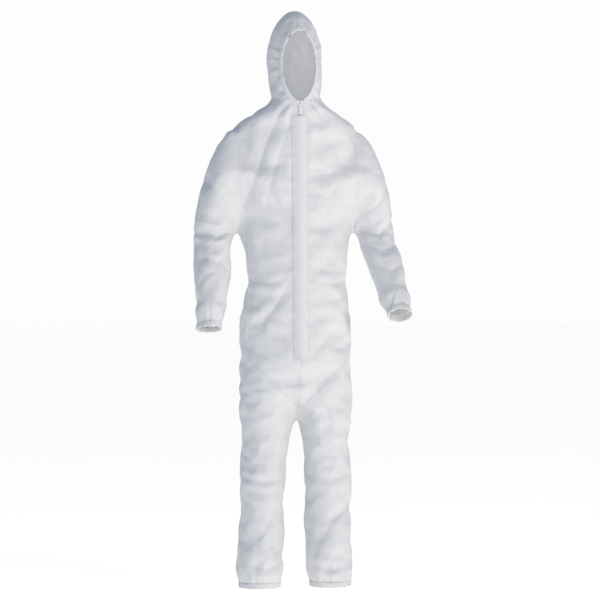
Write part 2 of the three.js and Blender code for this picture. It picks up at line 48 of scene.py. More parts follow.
# ---------------------------------------------------------------- sizes of the suit, in millimetres
CROTCH_Z, HIP_Z, WAIST_Z, NECK_Z = 545, 718, 933, 1475
FRONT_BEND_Z, FRONT_LOW_Y, FRONT_HIGH_Y, CROTCH_Y = 700, -118, -88, 5
ARMPIT, SHOULDER = (168, 1108), (178, 1405)
TRUNK_WIDTH = [
    (545, 172), (640, 174), (718, 173), (780, 172), (850, 166), (900, 160), (933, 155), (970, 158),
    (1050, 164), (1108, 168), (1150, 181), (1250, 197), (1340, 199), (1380, 191), (1405, 178),
    (1425, 150), (1445, 119), (1460, 92), (1475, 73)]
TRUNK_BACK = [
    (545, 5), (552, 42), (570, 72), (600, 99), (650, 118), (718, 124), (800, 112), (870, 92),
    (933, 80), (1000, 88), (1108, 106), (1250, 120), (1340, 117), (1405, 98), (1445, 72), (1475, 46)]
# height, inner x, outer x, y of the middle, half depth
LEG = [
    (545, 0.2, 173, 0, 95), (515, 8, 172, 2, 94), (447, 17, 166, 4, 87), (385, 25, 168, 3, 80),
    (325, 28, 172, 2, 77), (228, 32, 171, 8, 75), (131, 34, 177, 10, 76), (50, 39, 178, 10, 74),
    (15, 46, 171, 10, 69)]
# inner x and z, outer x and z, half depth, from the armhole to the elbow
SLEEVE = [
    (168, 1108, 178, 1405, 60), (174, 1104, 207, 1386, 64), (180, 1100, 240, 1335, 66),
    (185, 1097, 266, 1275, 66), (188, 1093, 285, 1215, 65), (190, 1085, 300, 1145, 62),
    (190, 1064, 308, 1070, 60)]
FOREARM = [(0, 59, 60), (0.3, 56, 56), (0.6, 49, 49), (0.85, 44, 43), (1, 38, 38)]
FOREARM_LENGTH = 282
ARMS = {"right": (-1, 17, 5), "left": (1, 35, 8)}
HOOD = [
    (1475, 73, -88, 46), (1508, 79, -92, 72), (1557, 81, -94, 97), (1605, 81, -93, 108),
    (1645, 77, -88, 106), (1685, 66, -74, 92), (1715, 51, -55, 72), (1738, 32, -30, 48), (1752, 6, 0, 17)]
FACE_Z, FACE_WIDE, FACE_TALL = 1578, 50, 105
HEM_WIDTH, HEM_THICKNESS, FACE_HEM_WIDTH = 15, 4.4, 12
ZIP_BOTTOM_Z, ZIP_TOP_Z, PANEL_EDGE_X = 712, 1471, 9
FLAP_SEWN_X, FLAP_FREE_X, FLAP_BOTTOM_Z, FLAP_TOP_Z = 21, -25, 697, 1424
CLOTH_MM = 0.5  # laminated nonwoven with its creped surface
ABOVE_FLOOR, FAR_FROM_SEAM = 0.3, 60.0
ELBOW, ANKLE, KNEE_Z = Vector((249, 0, 1067)), Vector((108.5, 10, 15)), 325
LEG_SEAM_Y, ARM_LOW_Z = 4, 760
SIDE_STEP_X, SIDE_STEP_Z = 181, 1078  # the sleeve is cut wider beside the forearm


# ---------------------------------------------------------------- shape of the suit

def read_rows(rows, place):
    """Smooth curve through rows (place, value, value...), read at a place."""
    rising = 1 if rows[-1][0] > rows[0][0] else -1
    i = 0
    while i < len(rows) - 2 and (place - rows[i + 1][0]) * rising > 0:
        i += 1
    before, a, b, after = rows[max(i - 1, 0)], rows[i], rows[i + 1], rows[min(i + 2, len(rows) - 1)]
    span = b[0] - a[0]
    t = min(max((place - a[0]) / span, 0), 1)
    values = []
    for n in range(1, len(a)):
        slope_in = (b[n] - before[n]) / (b[0] - before[0]) * span
        slope_out = (after[n] - a[n]) / (after[0] - a[0]) * span
        values.append((2 * t**3 - 3 * t**2 + 1) * a[n] + (t**3 - 2 * t**2 + t) * slope_in
                      + (3 * t**2 - 2 * t**3) * b[n] + (t**3 - t**2) * slope_out)
    return values


def front_y(z):
    """The straight front line, leaning from the waist to the neck, and its curve under the crotch."""
    if z >= FRONT_BEND_Z:
        return FRONT_LOW_Y + (z - FRONT_BEND_Z) / (NECK_Z - FRONT_BEND_Z) * (FRONT_HIGH_Y - FRONT_LOW_Y)
    drop = (FRONT_BEND_Z - z) / (FRONT_BEND_Z - CROTCH_Z)
    return CROTCH_Y + (FRONT_LOW_Y - CROTCH_Y) * math.sqrt(max(1 - drop * drop, 0))


def ring(centre, across, deep, count):
    """Points of an oval about a centre."""
    turns = [2 * math.pi * k / count for k in range(count)]
    return [centre + across * math.cos(t) + deep * math.sin(t) for t in turns]


def trunk_rings():
    """Ovals up the trunk, narrowed towards the crotch where the legs take over."""
    rings = []
    for z in list(range(552, 1475, 16)) + [1475, 1483]:
        half_width = read_rows(TRUNK_WIDTH, min(z, 1475))[0]
        back, front = read_rows(TRUNK_BACK, min(z, 1475))[0], front_y(min(z, 1475))
        reach = half_width
        if z < HIP_Z:
            reach = half_width * min(1, 0.35 + 0.65 * (z - CROTCH_Z) / (HIP_Z - CROTCH_Z))
        rings.append(ring(Vector((0, (back + front) / 2, z)), Vector((reach, 0, 0)),
                          Vector((0, -(back - front) / 2, 0)), 40))
    return rings


def leg_rings(sign):
    """Ovals down one leg, from inside the trunk to just past the floor."""
    rings = [ring(Vector((sign * 92, 2, 690)), Vector((sign * 78, 0, 30)), Vector((0, -104, 0)), 36),
             ring(Vector((sign * 89, 2, 620)), Vector((sign * 82, 0, 20)), Vector((0, -103, 0)), 36)]
    for z, inner, outer, middle, half_depth in LEG + [(-12, 50, 167, 10, 66)]:
        centre = Vector((sign * (inner + outer) / 2, middle, z))
        rings.append(ring(centre, Vector((sign * (outer - inner) / 2, 0, 0)), Vector((0, -half_depth, 0)), 36))
    return rings


def sleeve_rings(sign):
    """Ovals along the upper sleeve, from inside the trunk to the elbow."""
    rings = [ring(Vector((sign * 140, -2, 1250)), Vector((sign * 4, 0, 120)), Vector((0, -55, 0)), 32)]
    for inner_x, inner_z, outer_x, outer_z, half_depth in SLEEVE[1:]:
        centre = Vector((sign * (inner_x + outer_x) / 2, 0, (inner_z + outer_z) / 2))
        across = Vector((sign * (outer_x - inner_x) / 2, 0, (outer_z - inner_z) / 2))
        rings.append(ring(centre, across, Vector((0, -half_depth, 0)), 32))
    return rings


def forearm_frame(side):
    """Sign, forward lean, direction and elbow of one forearm, which hangs a little forward."""
    sign, lean, spread = ARMS[side]
    lean, spread = math.radians(lean), math.radians(spread)
    along = Vector((sign * math.sin(spread), -math.sin(lean), -math.cos(lean))).normalized()
    return sign, lean, along, Vector((sign * ELBOW.x, 0, ELBOW.z))


def forearm_ring(side, share, past=0.0, grow=0.0, count=32):
    sign, lean, along, elbow = forearm_frame(side)
    half_width, half_depth = read_rows(FOREARM, share)
    turn = min(share * 1.6, 1)
    forward = Vector((0, -math.cos(lean * turn), math.sin(lean * turn)))
    centre = elbow + along * (share * FOREARM_LENGTH + past)
    return ring(centre, Vector((sign * (half_width + grow), 0, 0)), forward * (half_depth + grow), count)


def hood_rings():
    """Ovals up the hood, from inside the neck to the crown."""
    rings = [ring(Vector((0, -21, 1462)), Vector((74, 0, 0)), Vector((0, -67, 0)), 36)]
    for z in [1475, 1490, 1508, 1530, 1557, 1580, 1605, 1625, 1645, 1665, 1685, 1700, 1715, 1728, 1738,
              1746, 1751]:
        half_width, front, back = read_rows(HOOD, z)
        rings.append(ring(Vector((0, (front + back) / 2, z)), Vector((half_width, 0, 0)),
                          Vector((0, -(back - front) / 2, 0)), 36))
    return rings


def add_loft(made, rings):
    """A closed tube through rings of equal counts, with a flat cap on each end."""
    rows = [[made.verts.new(p * MM) for p in points] for points in rings]
    count = len(rings[0])
    for low, high in zip(rows, rows[1:]):
        for k in range(count):
            made.faces.new((low[k], low[(k + 1) % count], high[(k + 1) % count], high[k]))
    made.faces.new(rows[0][::-1])
    made.faces.new(rows[-1])


def suit_volume():
    """The filled-out suit as one closed skin of even quads."""
    made = bmesh.new()
    add_loft(made, trunk_rings())
    add_loft(made, hood_rings())
    for side, (sign, _, _) in ARMS.items():
        add_loft(made, leg_rings(sign))
        add_loft(made, sleeve_rings(sign))
        add_loft(made, [forearm_ring(side, k / 10) for k in range(0, 11)] + [forearm_ring(side, 1, past=30)])
        # a short plug joins the sleeve to the forearm across the elbow
        plug = [Vector((sign * ELBOW.x, 0, z)) for z in (1110, ELBOW.z, 1030)]
        add_loft(made, [ring(c, Vector((sign * 55, 0, 0)), Vector((0, -56, 0)), 32) for c in plug])
    bmesh.ops.recalc_face_normals(made, faces=made.faces)
    mesh = bpy.data.meshes.new("suit_volume")
    made.to_mesh(mesh)
    made.free()
    body = bpy.data.objects.new("suit_volume", mesh)
    bpy.context.scene.collection.objects.link(body)
    remesh = body.modifiers.new("even_quads", "REMESH")
    remesh.mode = "VOXEL"
    remesh.voxel_size = 15 * MM
    smooth = body.modifiers.new("soften", "SMOOTH")
    smooth.factor = 0.5
    smooth.iterations = 6
    apply_modifiers(body)
    return body


def select_only(target):
    for other in bpy.context.selected_objects:
        other.select_set(False)
    bpy.context.view_layer.objects.active = target
    target.select_set(True)


def apply_modifiers(target):
    select_only(target)
    for modifier in list(target.modifiers):
        bpy.ops.object.modifier_apply(modifier=modifier.name)
    target.select_set(False)


# ---------------------------------------------------------------- cloth

def sleeve_ends():
    """A point and outward direction for each sleeve's end."""
    ends = {}
    for side in ARMS:
        sign, lean, along, elbow = forearm_frame(side)
        direction = Vector((0, -math.sin(lean), -math.cos(lean)))
        ends[side] = (elbow + along * FOREARM_LENGTH, direction)
    return ends


def face_share(x, y, z):
    """1 on the edge of the hood panels round the face, less inside it."""
    if y > 0 or z < NECK_Z:
        return 9.0
    return math.hypot(x / (FACE_WIDE + 11), (z - FACE_Z) / (FACE_TALL + 11))


def with_edges(faces):
    """The faces with their points and edges, each once and always in the same order."""
    return list(dict.fromkeys(v for f in faces for v in f.verts)) + list(
        dict.fromkeys(e for f in faces for e in f.edges)) + faces


def open_ends(cloth):
    """Cuts the closed skin at the cuffs, the hems and the face opening."""
    made = bmesh.new()
    made.from_mesh(cloth.data)
    for point, direction in sleeve_ends().values():
        near = [f for f in made.faces if (f.calc_center_median() - point * MM).length < 75 * MM]
        bmesh.ops.bisect_plane(made, geom=with_edges(near), plane_co=point * MM, plane_no=direction,
                               clear_outer=True)
        gone = [v for v in made.verts
                if (v.co - point * MM).dot(direction) > 1e-5 and (v.co - point * MM).length < 75 * MM]
        bmesh.ops.delete(made, geom=gone, context="VERTS")
    everything = list(made.verts) + list(made.edges) + list(made.faces)
    bmesh.ops.bisect_plane(made, geom=everything, plane_co=(0, 0, 15 * MM), plane_no=(0, 0, -1), clear_outer=True)
    gone = [f for f in made.faces if face_share(*(f.calc_center_median() / MM)) < 1.0]
    bmesh.ops.delete(made, geom=gone, context="FACES")
    for v in made.verts:  # the ragged cut moves onto the oval
        if v.is_boundary and v.co.z > NECK_Z * MM and v.co.y < 0:
            p = v.co / MM
            share = max(face_share(*p), 0.2)
            v.co.x, v.co.z = p.x / share * MM, (FACE_Z + (p.z - FACE_Z) / share) * MM
    bmesh.ops.delete(made, geom=[v for v in made.verts if not v.link_faces], context="VERTS")
    fit_ends(made)
    made.to_mesh(cloth.data)
    made.free()


def fit_ends(made):
    """Widens or narrows the last 60 mm of each sleeve and leg to the size of its hem."""
    ends = [(point, direction, FOREARM[-1][1] - 0.6) for point, direction in sleeve_ends().values()]
    ends += [(Vector((sign * ANKLE.x, ANKLE.y, ANKLE.z)), Vector((0, 0, -1)), 64.5) for sign in (-1, 1)]
    for point, direction, radius in ends:
        near = []
        for v in made.verts:
            away = v.co / MM - point
            back = -away.dot(direction)
            if back < 60 and away.length < 110:
                near.append((v, back, away + direction * back))
        rim = [out.length for v, back, out in near if v.is_boundary]
        grow = radius / (sum(rim) / len(rim)) - 1
        for v, back, out in near:
            v.co += out * grow * (1 - max(back, 0) / 60) * MM


def pin_share(p):
    """How firmly a point of the cloth is held, from 0 to 1, by what stiffens it there."""
    held = 1.0 - max(p.z - 22, 0) / 30
    for point, _ in sleeve_ends().values():
        held = max(held, 1.0 - max((p - point).length - 44, 0) / 30)
    held = max(held, 1.0 - max(abs(p.z - NECK_Z) - 6, 0) / 14)
    if p.y < 0 and p.z > NECK_Z:
        held = max(held, 1.0 - max(face_share(*p) - 1.02, 0) * 7)
    if p.y < -60 and 695 < p.z < NECK_Z:
        held = max(held, 0.75 - max(abs(p.x) - 20, 0) / 24)
    return min(max(held, 0.0), 1.0)


def drape(cloth, inner):
    """Lets the cloth, cut a little large, hang on the filled-out shape inside it."""
    pins = cloth.vertex_groups.new(name="held")
    for v in cloth.data.vertices:
        p = v.co / MM
        wave = noise.noise(p / 70) * 1.5 + noise.noise(p / 160 + Vector((7, 3, 1))) * 3.5
        share = pin_share(p)
        pins.add([v.index], share, "REPLACE")
        v.co += v.normal * wave * (1 - share) * MM
    inner.modifiers.new("body", "COLLISION")
    inner.collision.thickness_outer = 2 * MM
    inner.collision.cloth_friction = 8
    modifier = cloth.modifiers.new("cloth", "CLOTH")
    settings = modifier.settings
    settings.quality = 4
    settings.mass = 0.05
    settings.air_damping = 2
    settings.tension_stiffness = settings.compression_stiffness = 40
    settings.shear_stiffness = 12
    settings.bending_model = "ANGULAR"
    settings.bending_stiffness = 6
    settings.tension_damping = settings.compression_damping = 12
    settings.shear_damping = 8
    settings.shrink_min = settings.shrink_max = -0.032
    settings.vertex_group_mass = "held"
    settings.pin_stiffness = 3
    modifier.collision_settings.use_collision = True
    modifier.collision_settings.use_self_collision = False
    modifier.collision_settings.distance_min = 2 * MM
    modifier.collision_settings.collision_quality = 2
    last = 24
    modifier.point_cache.frame_start, modifier.point_cache.frame_end = 1, last
    stage = bpy.context.scene
    for step in range(1, last + 1):
        stage.frame_set(step)
    ease = cloth.modifiers.new("ease", "SMOOTH")
    ease.factor, ease.iterations = 0.5, 1
    apply_modifiers(cloth)
    stage.frame_set(1)
    bpy.data.objects.remove(inner)


def read_points(mesh, name="position"):
    values = np.empty(len(mesh.vertices) * 3, np.float32)
    mesh.attributes[name].data.foreach_get("vector", values)
    return values.reshape(-1, 3).astype(float)


def write_points(mesh, name, values):
    if name not in mesh.attributes:
        mesh.attributes.new(name, "FLOAT_VECTOR", "POINT")
    mesh.attributes[name].data.foreach_set("vector", np.ascontiguousarray(values, np.float32).ravel())
    mesh.update()


def point_normals(mesh):
    values = np.empty(len(mesh.vertices) * 3, np.float32)
    mesh.vertex_normals.foreach_get("vector", values)
    return values.reshape(-1, 3).astype(float)


def hang_suit():
    """The draped suit as one fine mesh that also remembers where each point lay before draping."""
    cloth = suit_volume()
    inner = cloth.copy()
    inner.data = cloth.data.copy()
    bpy.context.scene.collection.objects.link(inner)
    for v in inner.data.vertices:
        v.co -= v.normal * 13 * MM
    open_ends(cloth)
    write_points(cloth.data, "flat", read_points(cloth.data))
    drape(cloth, inner)
    cloth.vertex_groups.clear()
    fine = cloth.modifiers.new("fine", "SUBSURF")
    fine.levels = fine.render_levels = 2
    fine.boundary_smooth = "PRESERVE_CORNERS"
    apply_modifiers(cloth)
    return cloth


# ---------------------------------------------------------------- creases and gathers

# Each fold: points it runs through, half width, depth (negative stands out). Front view x and z.
FRONT_FOLDS = [
    ([(-60, 1440), (-105, 1330), (-150, 1180)], 16, 4.0),
    ([(-30, 1400), (-75, 1270), (-110, 1120)], 18, 3.0),
    ([(-150, 1330), (-90, 1200), (-40, 1090)], 20, 3.0),
    ([(60, 1430), (110, 1330), (150, 1220)], 16, 2.5),
    ([(145, 1290), (90, 1180), (50, 1050)], 18, 2.5),
    ([(-160, 935), (-100, 922), (-45, 930)], 12, 3.5),
    ([(160, 930), (105, 920), (50, 930)], 12, 3.5),
    ([(-155, 905), (-90, 880), (-50, 890)], 13, 2.5),
    ([(155, 960), (100, 955), (60, 965)], 13, 2.5),
    ([(-45, 905), (-80, 850), (-120, 800)], 12, 4.0),
    ([(-120, 805), (-60, 760), (5, 705)], 13, 5.0),
    ([(-150, 730), (-80, 690), (-10, 640)], 15, 4.0),
    ([(120, 790), (60, 740), (12, 690)], 15, 3.0),
    ([(150, 700), (90, 650), (30, 600)], 16, 3.0),
    ([(34, 655), (62, 570), (97, 477)], 18, 4.0),
    ([(-30, 640), (-62, 560), (-80, 440)], 20, 1.8),
    ([(-170, 332), (-110, 322), (-40, 335)], 10, 4.0),
    ([(-165, 300), (-100, 285), (-60, 292)], 12, 2.5),
    ([(40, 345), (95, 325), (160, 350)], 12, 3.0),
    ([(45, 240), (95, 215), (160, 235)], 14, 2.5),
    ([(-160, 150), (-100, 120), (-45, 140)], 14, 3.0),
    ([(45, 120), (100, 95), (165, 118)], 13, 3.0),
    ([(-165, 80), (-100, 62), (-50, 75)], 11, 3.0),
    ([(50, 70), (105, 55), (160, 66)], 10, 2.5),
    ([(-310, 1078), (-250, 1062), (-195, 1078)], 9, 6.0),
    ([(-300, 1110), (-250, 1095), (-200, 1105)], 12, -4.0),
    ([(-300, 1000), (-250, 985), (-215, 1000)], 12, 3.0),
    ([(-285, 1240), (-235, 1170), (-195, 1120)], 14, 3.5),
    ([(195, 1085), (245, 1070), (300, 1120)], 10, 5.5),
    ([(195, 1130), (240, 1160), (275, 1230)], 14, 3.5),
    ([(205, 1040), (255, 1020), (310, 1050)], 12, 3.5),
    ([(225, 980), (270, 962), (318, 985)], 12, 3.0),
    ([(12, 1466), (30, 1442), (38, 1400)], 7, 3.0),
    ([(20, 1470), (48, 1452), (78, 1418)], 8, 3.0),
    ([(-14, 1464), (-26, 1436), (-34, 1396)], 7, 3.0),
    ([(-22, 1468), (-46, 1450), (-70, 1420)], 8, 3.5),
    ([(-66, 1508), (-48, 1496), (-28, 1488)], 7, 3.0),
    ([(160, 250), (95, 200), (50, 110)], 22, 5.0),
    ([(165, 95), (115, 62), (70, 70)], 12, 4.0),
    ([(-60, 240), (-110, 170), (-165, 120)], 20, 3.5),
]

# The same on the back, which also shows inside the hood.
BACK_FOLDS = [
    ([(-48, 1690), (0, 1620), (34, 1520)], 10, 11.0),
    ([(-10, 1700), (34, 1640), (56, 1570)], 9, 9.0),
    ([(-58, 1620), (-30, 1560), (-8, 1490)], 10, 9.0),
    ([(-30, 1500), (10, 1482), (50, 1496)], 10, 4.0),
    ([(-150, 1400), (-90, 1330), (-40, 1240)], 20, 4.0),
    ([(150, 1390), (95, 1320), (50, 1230)], 20, 4.0),
    ([(-140, 1180), (-60, 1120), (10, 1090)], 20, 3.5),
    ([(145, 1160), (70, 1100), (0, 1060)], 18, 3.5),
    ([(-150, 1010), (-80, 990), (-20, 1000)], 14, 3.5),
    ([(150, 900), (90, 870), (30, 880)], 14, 3.5),
    ([(-150, 830), (-90, 740), (-20, 660)], 18, 4.5),
    ([(150, 820), (90, 740), (20, 650)], 18, 4.5),
    ([(-30, 640), (-90, 600), (-160, 590)], 15, 4.0),
    ([(30, 630), (90, 590), (160, 575)], 15, 4.0),
    ([(-165, 360), (-100, 330), (-45, 345)], 14, 5.0),
    ([(165, 350), (105, 325), (45, 345)], 14, 5.0),
    ([(-160, 300), (-105, 275), (-50, 290)], 13, 3.5),
    ([(160, 290), (100, 262), (50, 285)], 13, 3.5),
    ([(-165, 130), (-100, 100), (-50, 118)], 14, 4.0),
    ([(165, 150), (105, 110), (50, 125)], 14, 4.0),
    ([(-300, 1110), (-245, 1075), (-195, 1095)], 12, 4.0),
    ([(195, 1100), (245, 1078), (300, 1105)], 12, 4.0),
]


def fold_depth(flat):
    """Depth of the placed folds at each point of the front and the back."""
    depth = np.zeros(len(flat))
    arms = np.abs(flat[:, 0]) > 185
    facing = np.where(arms, 40 - flat[:, 1], -20 - flat[:, 1]) / np.where(arms, 40, 25)
    behind = np.where(arms, flat[:, 1] + 10, flat[:, 1] - 15) / 25
    place = flat[:, [0, 2]]
    for folds, share in ((FRONT_FOLDS, np.clip(facing, 0, 1)), (BACK_FOLDS, np.clip(behind, 0, 1))):
        for points, half_width, deep in folds:
            depth += share * deep * fold_section(place, points, half_width)
    return depth


def fold_section(place, points, half_width):
    """1 along the bottom of a fold, a little under 0 along its lips, fading out at its ends."""
    reach = np.full(len(place), 1e9)
    run = np.zeros(len(place))
    for n, (a, b) in enumerate(zip(points, points[1:])):
        a, b = np.array(a, float), np.array(b, float)
        share = np.clip(((place - a) @ (b - a)) / ((b - a) @ (b - a)), 0, 1)
        gap = np.linalg.norm(place - a - share[:, None] * (b - a), axis=1)
        nearer = gap < reach
        reach = np.where(nearer, gap, reach)
        run = np.where(nearer, (n + share) / (len(points) - 1), run)
    fade = np.sin(np.pi * np.clip(run * 0.86 + 0.07, 0, 1)) ** 0.7
    sharp = np.exp(-(reach / half_width) ** 2) * 0.6 + np.exp(-(reach / (0.4 * half_width)) ** 2) * 0.4
    lip = np.exp(-((reach - 1.9 * half_width) / half_width) ** 2) * 0.45
    return fade * (sharp - lip)


def noise_at(points, size, seed):
    offset = Vector((seed * 13.7, seed * 5.1, seed * 9.3))
    return np.array([noise.noise(Vector(p) / size + offset) for p in points])


def gather(turns, distance, folds, deep, fade, seed):
    """Puckers round an elasticated edge: high at the edge, dying away from it."""
    wander = 0.9 * np.sin(turns * 3 + seed) + 0.6 * np.sin(turns * 5 + 2.1 * seed)
    wave = np.sin(folds * turns + 2.2 * wander) * (0.75 + 0.25 * np.sin(turns * 4 + seed))
    slow = np.sin(0.55 * folds * turns + 3 * seed + wander)
    near, far = np.exp(-np.abs(distance) / fade), np.exp(-np.abs(distance) / (2.2 * fade))
    return deep * (0.75 * wave * near + 0.45 * slow * far)


def gathers(flat):
    """Outward movement of each point caused by the elastic nearest to it."""
    out = np.zeros(len(flat))
    for side, (sign, _, _) in ARMS.items():
        point, direction = sleeve_ends()[side]
        rel = flat - np.array(point)
        distance = -(rel @ np.array(direction))
        near = (np.linalg.norm(rel, axis=1) < 170) & (distance > -22)
        turns = np.arctan2(-(rel[:, 1]), rel[:, 0])
        full = 4.5 * np.exp(-((distance - 42) / 22) ** 2) - 1.5 * np.exp(-((distance - 4) / 10) ** 2)
        out += np.where(near, gather(turns, distance, 15, 3.0, 24, sign + 2) + full, 0)
        rel = flat - np.array([sign * 108, 10, 15])
        near = (flat[:, 2] < 160) & (flat[:, 0] * sign > 0)
        turns = np.arctan2(rel[:, 1], rel[:, 0])
        slack = np.clip(np.cos(turns - 0.3 * sign), 0, 1) ** 2 * np.exp(-np.abs(rel[:, 2]) / 22)
        out += np.where(near, (5.0 if sign > 0 else 2.0) * slack, 0)
        full = 2.5 * np.exp(-((rel[:, 2] - 40) / 24) ** 2) - 1.0 * np.exp(-((rel[:, 2] - 2) / 9) ** 2)
        out += np.where(near, gather(turns, rel[:, 2], 19, 3.0, 26, sign + 5) + full, 0)
    trunk = (np.abs(flat[:, 2] - WAIST_Z) < 130) & (np.abs(flat[:, 0]) < 170)
    turns = np.arctan2(flat[:, 1], flat[:, 0])
    sides = np.clip((flat[:, 1] + 75) / 40, 0.15, 1)
    out += np.where(trunk, gather(turns, flat[:, 2] - WAIST_Z, 34, 2.0, 24, 8) * sides, 0)
    out -= np.where(trunk, 4.0 * np.exp(-((flat[:, 2] - WAIST_Z) / 20) ** 2) * sides, 0)
    share = np.hypot(flat[:, 0] / (FACE_WIDE + 11), (flat[:, 2] - FACE_Z) / (FACE_TALL + 11))
    hood = (flat[:, 1] < 0) & (flat[:, 2] > NECK_Z)
    turns = np.arctan2(flat[:, 0], flat[:, 2] - FACE_Z)
    out += np.where(hood, gather(turns, (share - 1) * 75, 26, 3.2, 15, 3), 0)
    return out


def crease(cloth):
    """Adds the placed folds, the gathers and the small creases of a film-coated cloth."""
    mesh = cloth.data
    flat = read_points(mesh, "flat") / MM
    place, normal = read_points(mesh), point_normals(mesh)
    small = 1 - 2 * np.abs(noise_at(flat, 34, 1))
    patch = np.clip(noise_at(flat, 90, 2) * 2 + 0.35, 0, 1)
    wide = noise_at(flat, 110, 3)
    move = -1.1 * fold_depth(flat) - 2.4 * np.clip(small - 0.55, 0, 1) * patch + 1.2 * wide
    zip_line = (flat[:, 1] < -40) & (flat[:, 2] > ZIP_BOTTOM_Z - 20) & (flat[:, 2] < NECK_Z)
    move *= np.where(zip_line, np.clip((np.abs(flat[:, 0]) - 16) / 22, 0.1, 1), 1)
    write_points(mesh, "position", place + normal * ((move + gathers(flat)) * MM)[:, None])


# ---------------------------------------------------------------- pieces of cloth

def armhole_x(z):
    """Half width of the trunk at the armhole seam, at the armpit below it and beside the forearms."""
    if z >= ARMPIT[1]:
        return ARMPIT[0] + (SHOULDER[0] - ARMPIT[0]) * (z - ARMPIT[1]) / (SHOULDER[1] - ARMPIT[1])
    return ARMPIT[0] if z > SIDE_STEP_Z else SIDE_STEP_X


def is_arm(p):
    return abs(p.x) > armhole_x(p.z) and p.z > ARM_LOW_Z


def piece_name(p):
    """The garment piece that a point of the flat shape belongs to, or None in the zip's gap."""
    side = "left" if p.x > 0 else "right"
    if p.z > NECK_Z:
        return f"hood_{side}_panel"
    if is_arm(p):
        return f"{side}_upper_sleeve" if p.z > ELBOW.z else f"{side}_forearm_sleeve"
    if p.z < CROTCH_Z + abs(p.x):
        face = "front" if p.y < LEG_SEAM_Y else "back"
        return f"{side}_thigh_{face}" if p.z > KNEE_Z else f"{side}_shin_{face}"
    if p.y > 0:
        return f"{side}_back_panel"
    if p.z > ZIP_BOTTOM_Z and abs(p.x) < PANEL_EDGE_X:
        return None
    return f"{side}_front_panel"


def split_along(made, point, normal, chosen):
    """Cuts new edges along a plane through the chosen faces near it."""
    point, normal = Vector(point), Vector(normal).normalized()
    faces = [f for f in made.faces if abs((f.calc_center_median() / MM - point).dot(normal)) < 16
             and chosen(f.calc_center_median() / MM)]
    bmesh.ops.bisect_plane(made, geom=with_edges(faces), plane_co=point * MM, plane_no=normal, dist=1e-6)


def cut_seams(made):
    """New edges along every seam, so that the pieces part cleanly there."""
    split_along(made, (0, 0, 0), (1, 0, 0), lambda p: p.z > CROTCH_Z)
    split_along(made, (0, 0, NECK_Z), (0, 0, 1), lambda p: True)
    split_along(made, (0, 0, 0), (0, 1, 0), lambda p: CROTCH_Z < p.z < NECK_Z and not is_arm(p))
    split_along(made, (0, LEG_SEAM_Y, 0), (0, 1, 0), lambda p: p.z < HIP_Z + 10)
    split_along(made, (0, 0, KNEE_Z), (0, 0, 1), lambda p: True)
    split_along(made, ELBOW, (0, 0, 1), lambda p: abs(p.x) > 172)
    split_along(made, (0, 0, ARMPIT[1]), (0, 0, 1), lambda p: 150 < abs(p.x) < 200)
    split_along(made, (0, 0, ZIP_BOTTOM_Z), (0, 0, 1), lambda p: abs(p.x) < 20 and p.y < 0)
    for sign in (-1, 1):
        split_along(made, (sign * ARMPIT[0], 0, ARMPIT[1]), (297, 0, -10 * sign),
                    lambda p: ARMPIT[1] - 1 < p.z < 1440 and p.x * sign > 120)
        split_along(made, (sign * ARMPIT[0], 0, 0), (1, 0, 0),
                    lambda p: SIDE_STEP_Z - 8 < p.z < ARMPIT[1] + 1 and p.x * sign > 140)
        split_along(made, (sign * SIDE_STEP_X, 0, 0), (1, 0, 0),
                    lambda p: 1000 < p.z < SIDE_STEP_Z + 8 and p.x * sign > 140)
        split_along(made, (0, 0, SIDE_STEP_Z), (0, 0, 1), lambda p: 165 < p.x * sign < 188)
        split_along(made, (0, 0, CROTCH_Z), (1, 0, -sign), lambda p: p.x * sign > -2 and p.z < HIP_Z + 16)
        split_along(made, (sign * PANEL_EDGE_X, 0, 0), (1, 0, 0),
                    lambda p: p.y < 0 and ZIP_BOTTOM_Z < p.z < NECK_Z)


def regions(flat):
    """Masks of the points on the hood, the arms and the legs, and the armhole's half width at each."""
    x, z = np.abs(flat[:, 0]), flat[:, 2]
    hole = ARMPIT[0] + (SHOULDER[0] - ARMPIT[0]) * (z - ARMPIT[1]) / (SHOULDER[1] - ARMPIT[1])
    hood = z > NECK_Z
    return hood, (x > hole) & (z > ARM_LOW_Z) & ~hood, z < CROTCH_Z + x, hole


def seam_distance(flat):
    """Millimetres from each point to the nearest sewn seam, up to 60."""
    x, y, z = np.abs(flat[:, 0]), np.abs(flat[:, 1]), flat[:, 2]
    hood, arm, leg, hole = regions(flat)
    seam = np.full(len(flat), FAR_FROM_SEAM)
    for chosen, distance in (
            (z > 0, np.abs(z - NECK_Z)),
            (hood | ((z < NECK_Z) & ~arm & ~leg), x),
            (~hood & ~arm & ~leg, y),
            (leg, np.abs(flat[:, 1] - LEG_SEAM_Y)),
            ((z < HIP_Z + 40) & ~arm, np.abs(z - CROTCH_Z - x) * math.sqrt(0.5)),
            (z > ARMPIT[1] - 40, np.abs(x - hole)),
            (arm, np.abs(z - ELBOW.z))):
        seam = np.minimum(seam, np.where(chosen, distance, FAR_FROM_SEAM))
    return seam


def along_cloth(flat):
    """Distance round the piece and up it, in metres, which the patterns follow."""
    x, y, z = flat[:, 0], flat[:, 1], flat[:, 2]
    hood, arm, leg, _ = regions(flat)
    middle = np.where(arm, np.sign(x) * ELBOW.x, np.where(leg, np.sign(x) * 100, 0))
    radius = np.where(arm, 58, np.where(leg, 75, np.where(hood, 88, 140)))
    turn = np.arctan2(x - middle, -(y - np.where(leg, LEG_SEAM_Y, 0)))
    return np.stack([turn * radius * MM, z * MM], axis=1), radius * MM * 2 * math.pi


def free_edges(faces):
    """Edges that belong to one face only, in that face's direction."""
    seen = {}
    for face in faces:
        for a, b in zip(face, face[1:] + face[:1]):
            seen[(a, b)] = True
    return [(a, b) for a, b in seen if (b, a) not in seen]


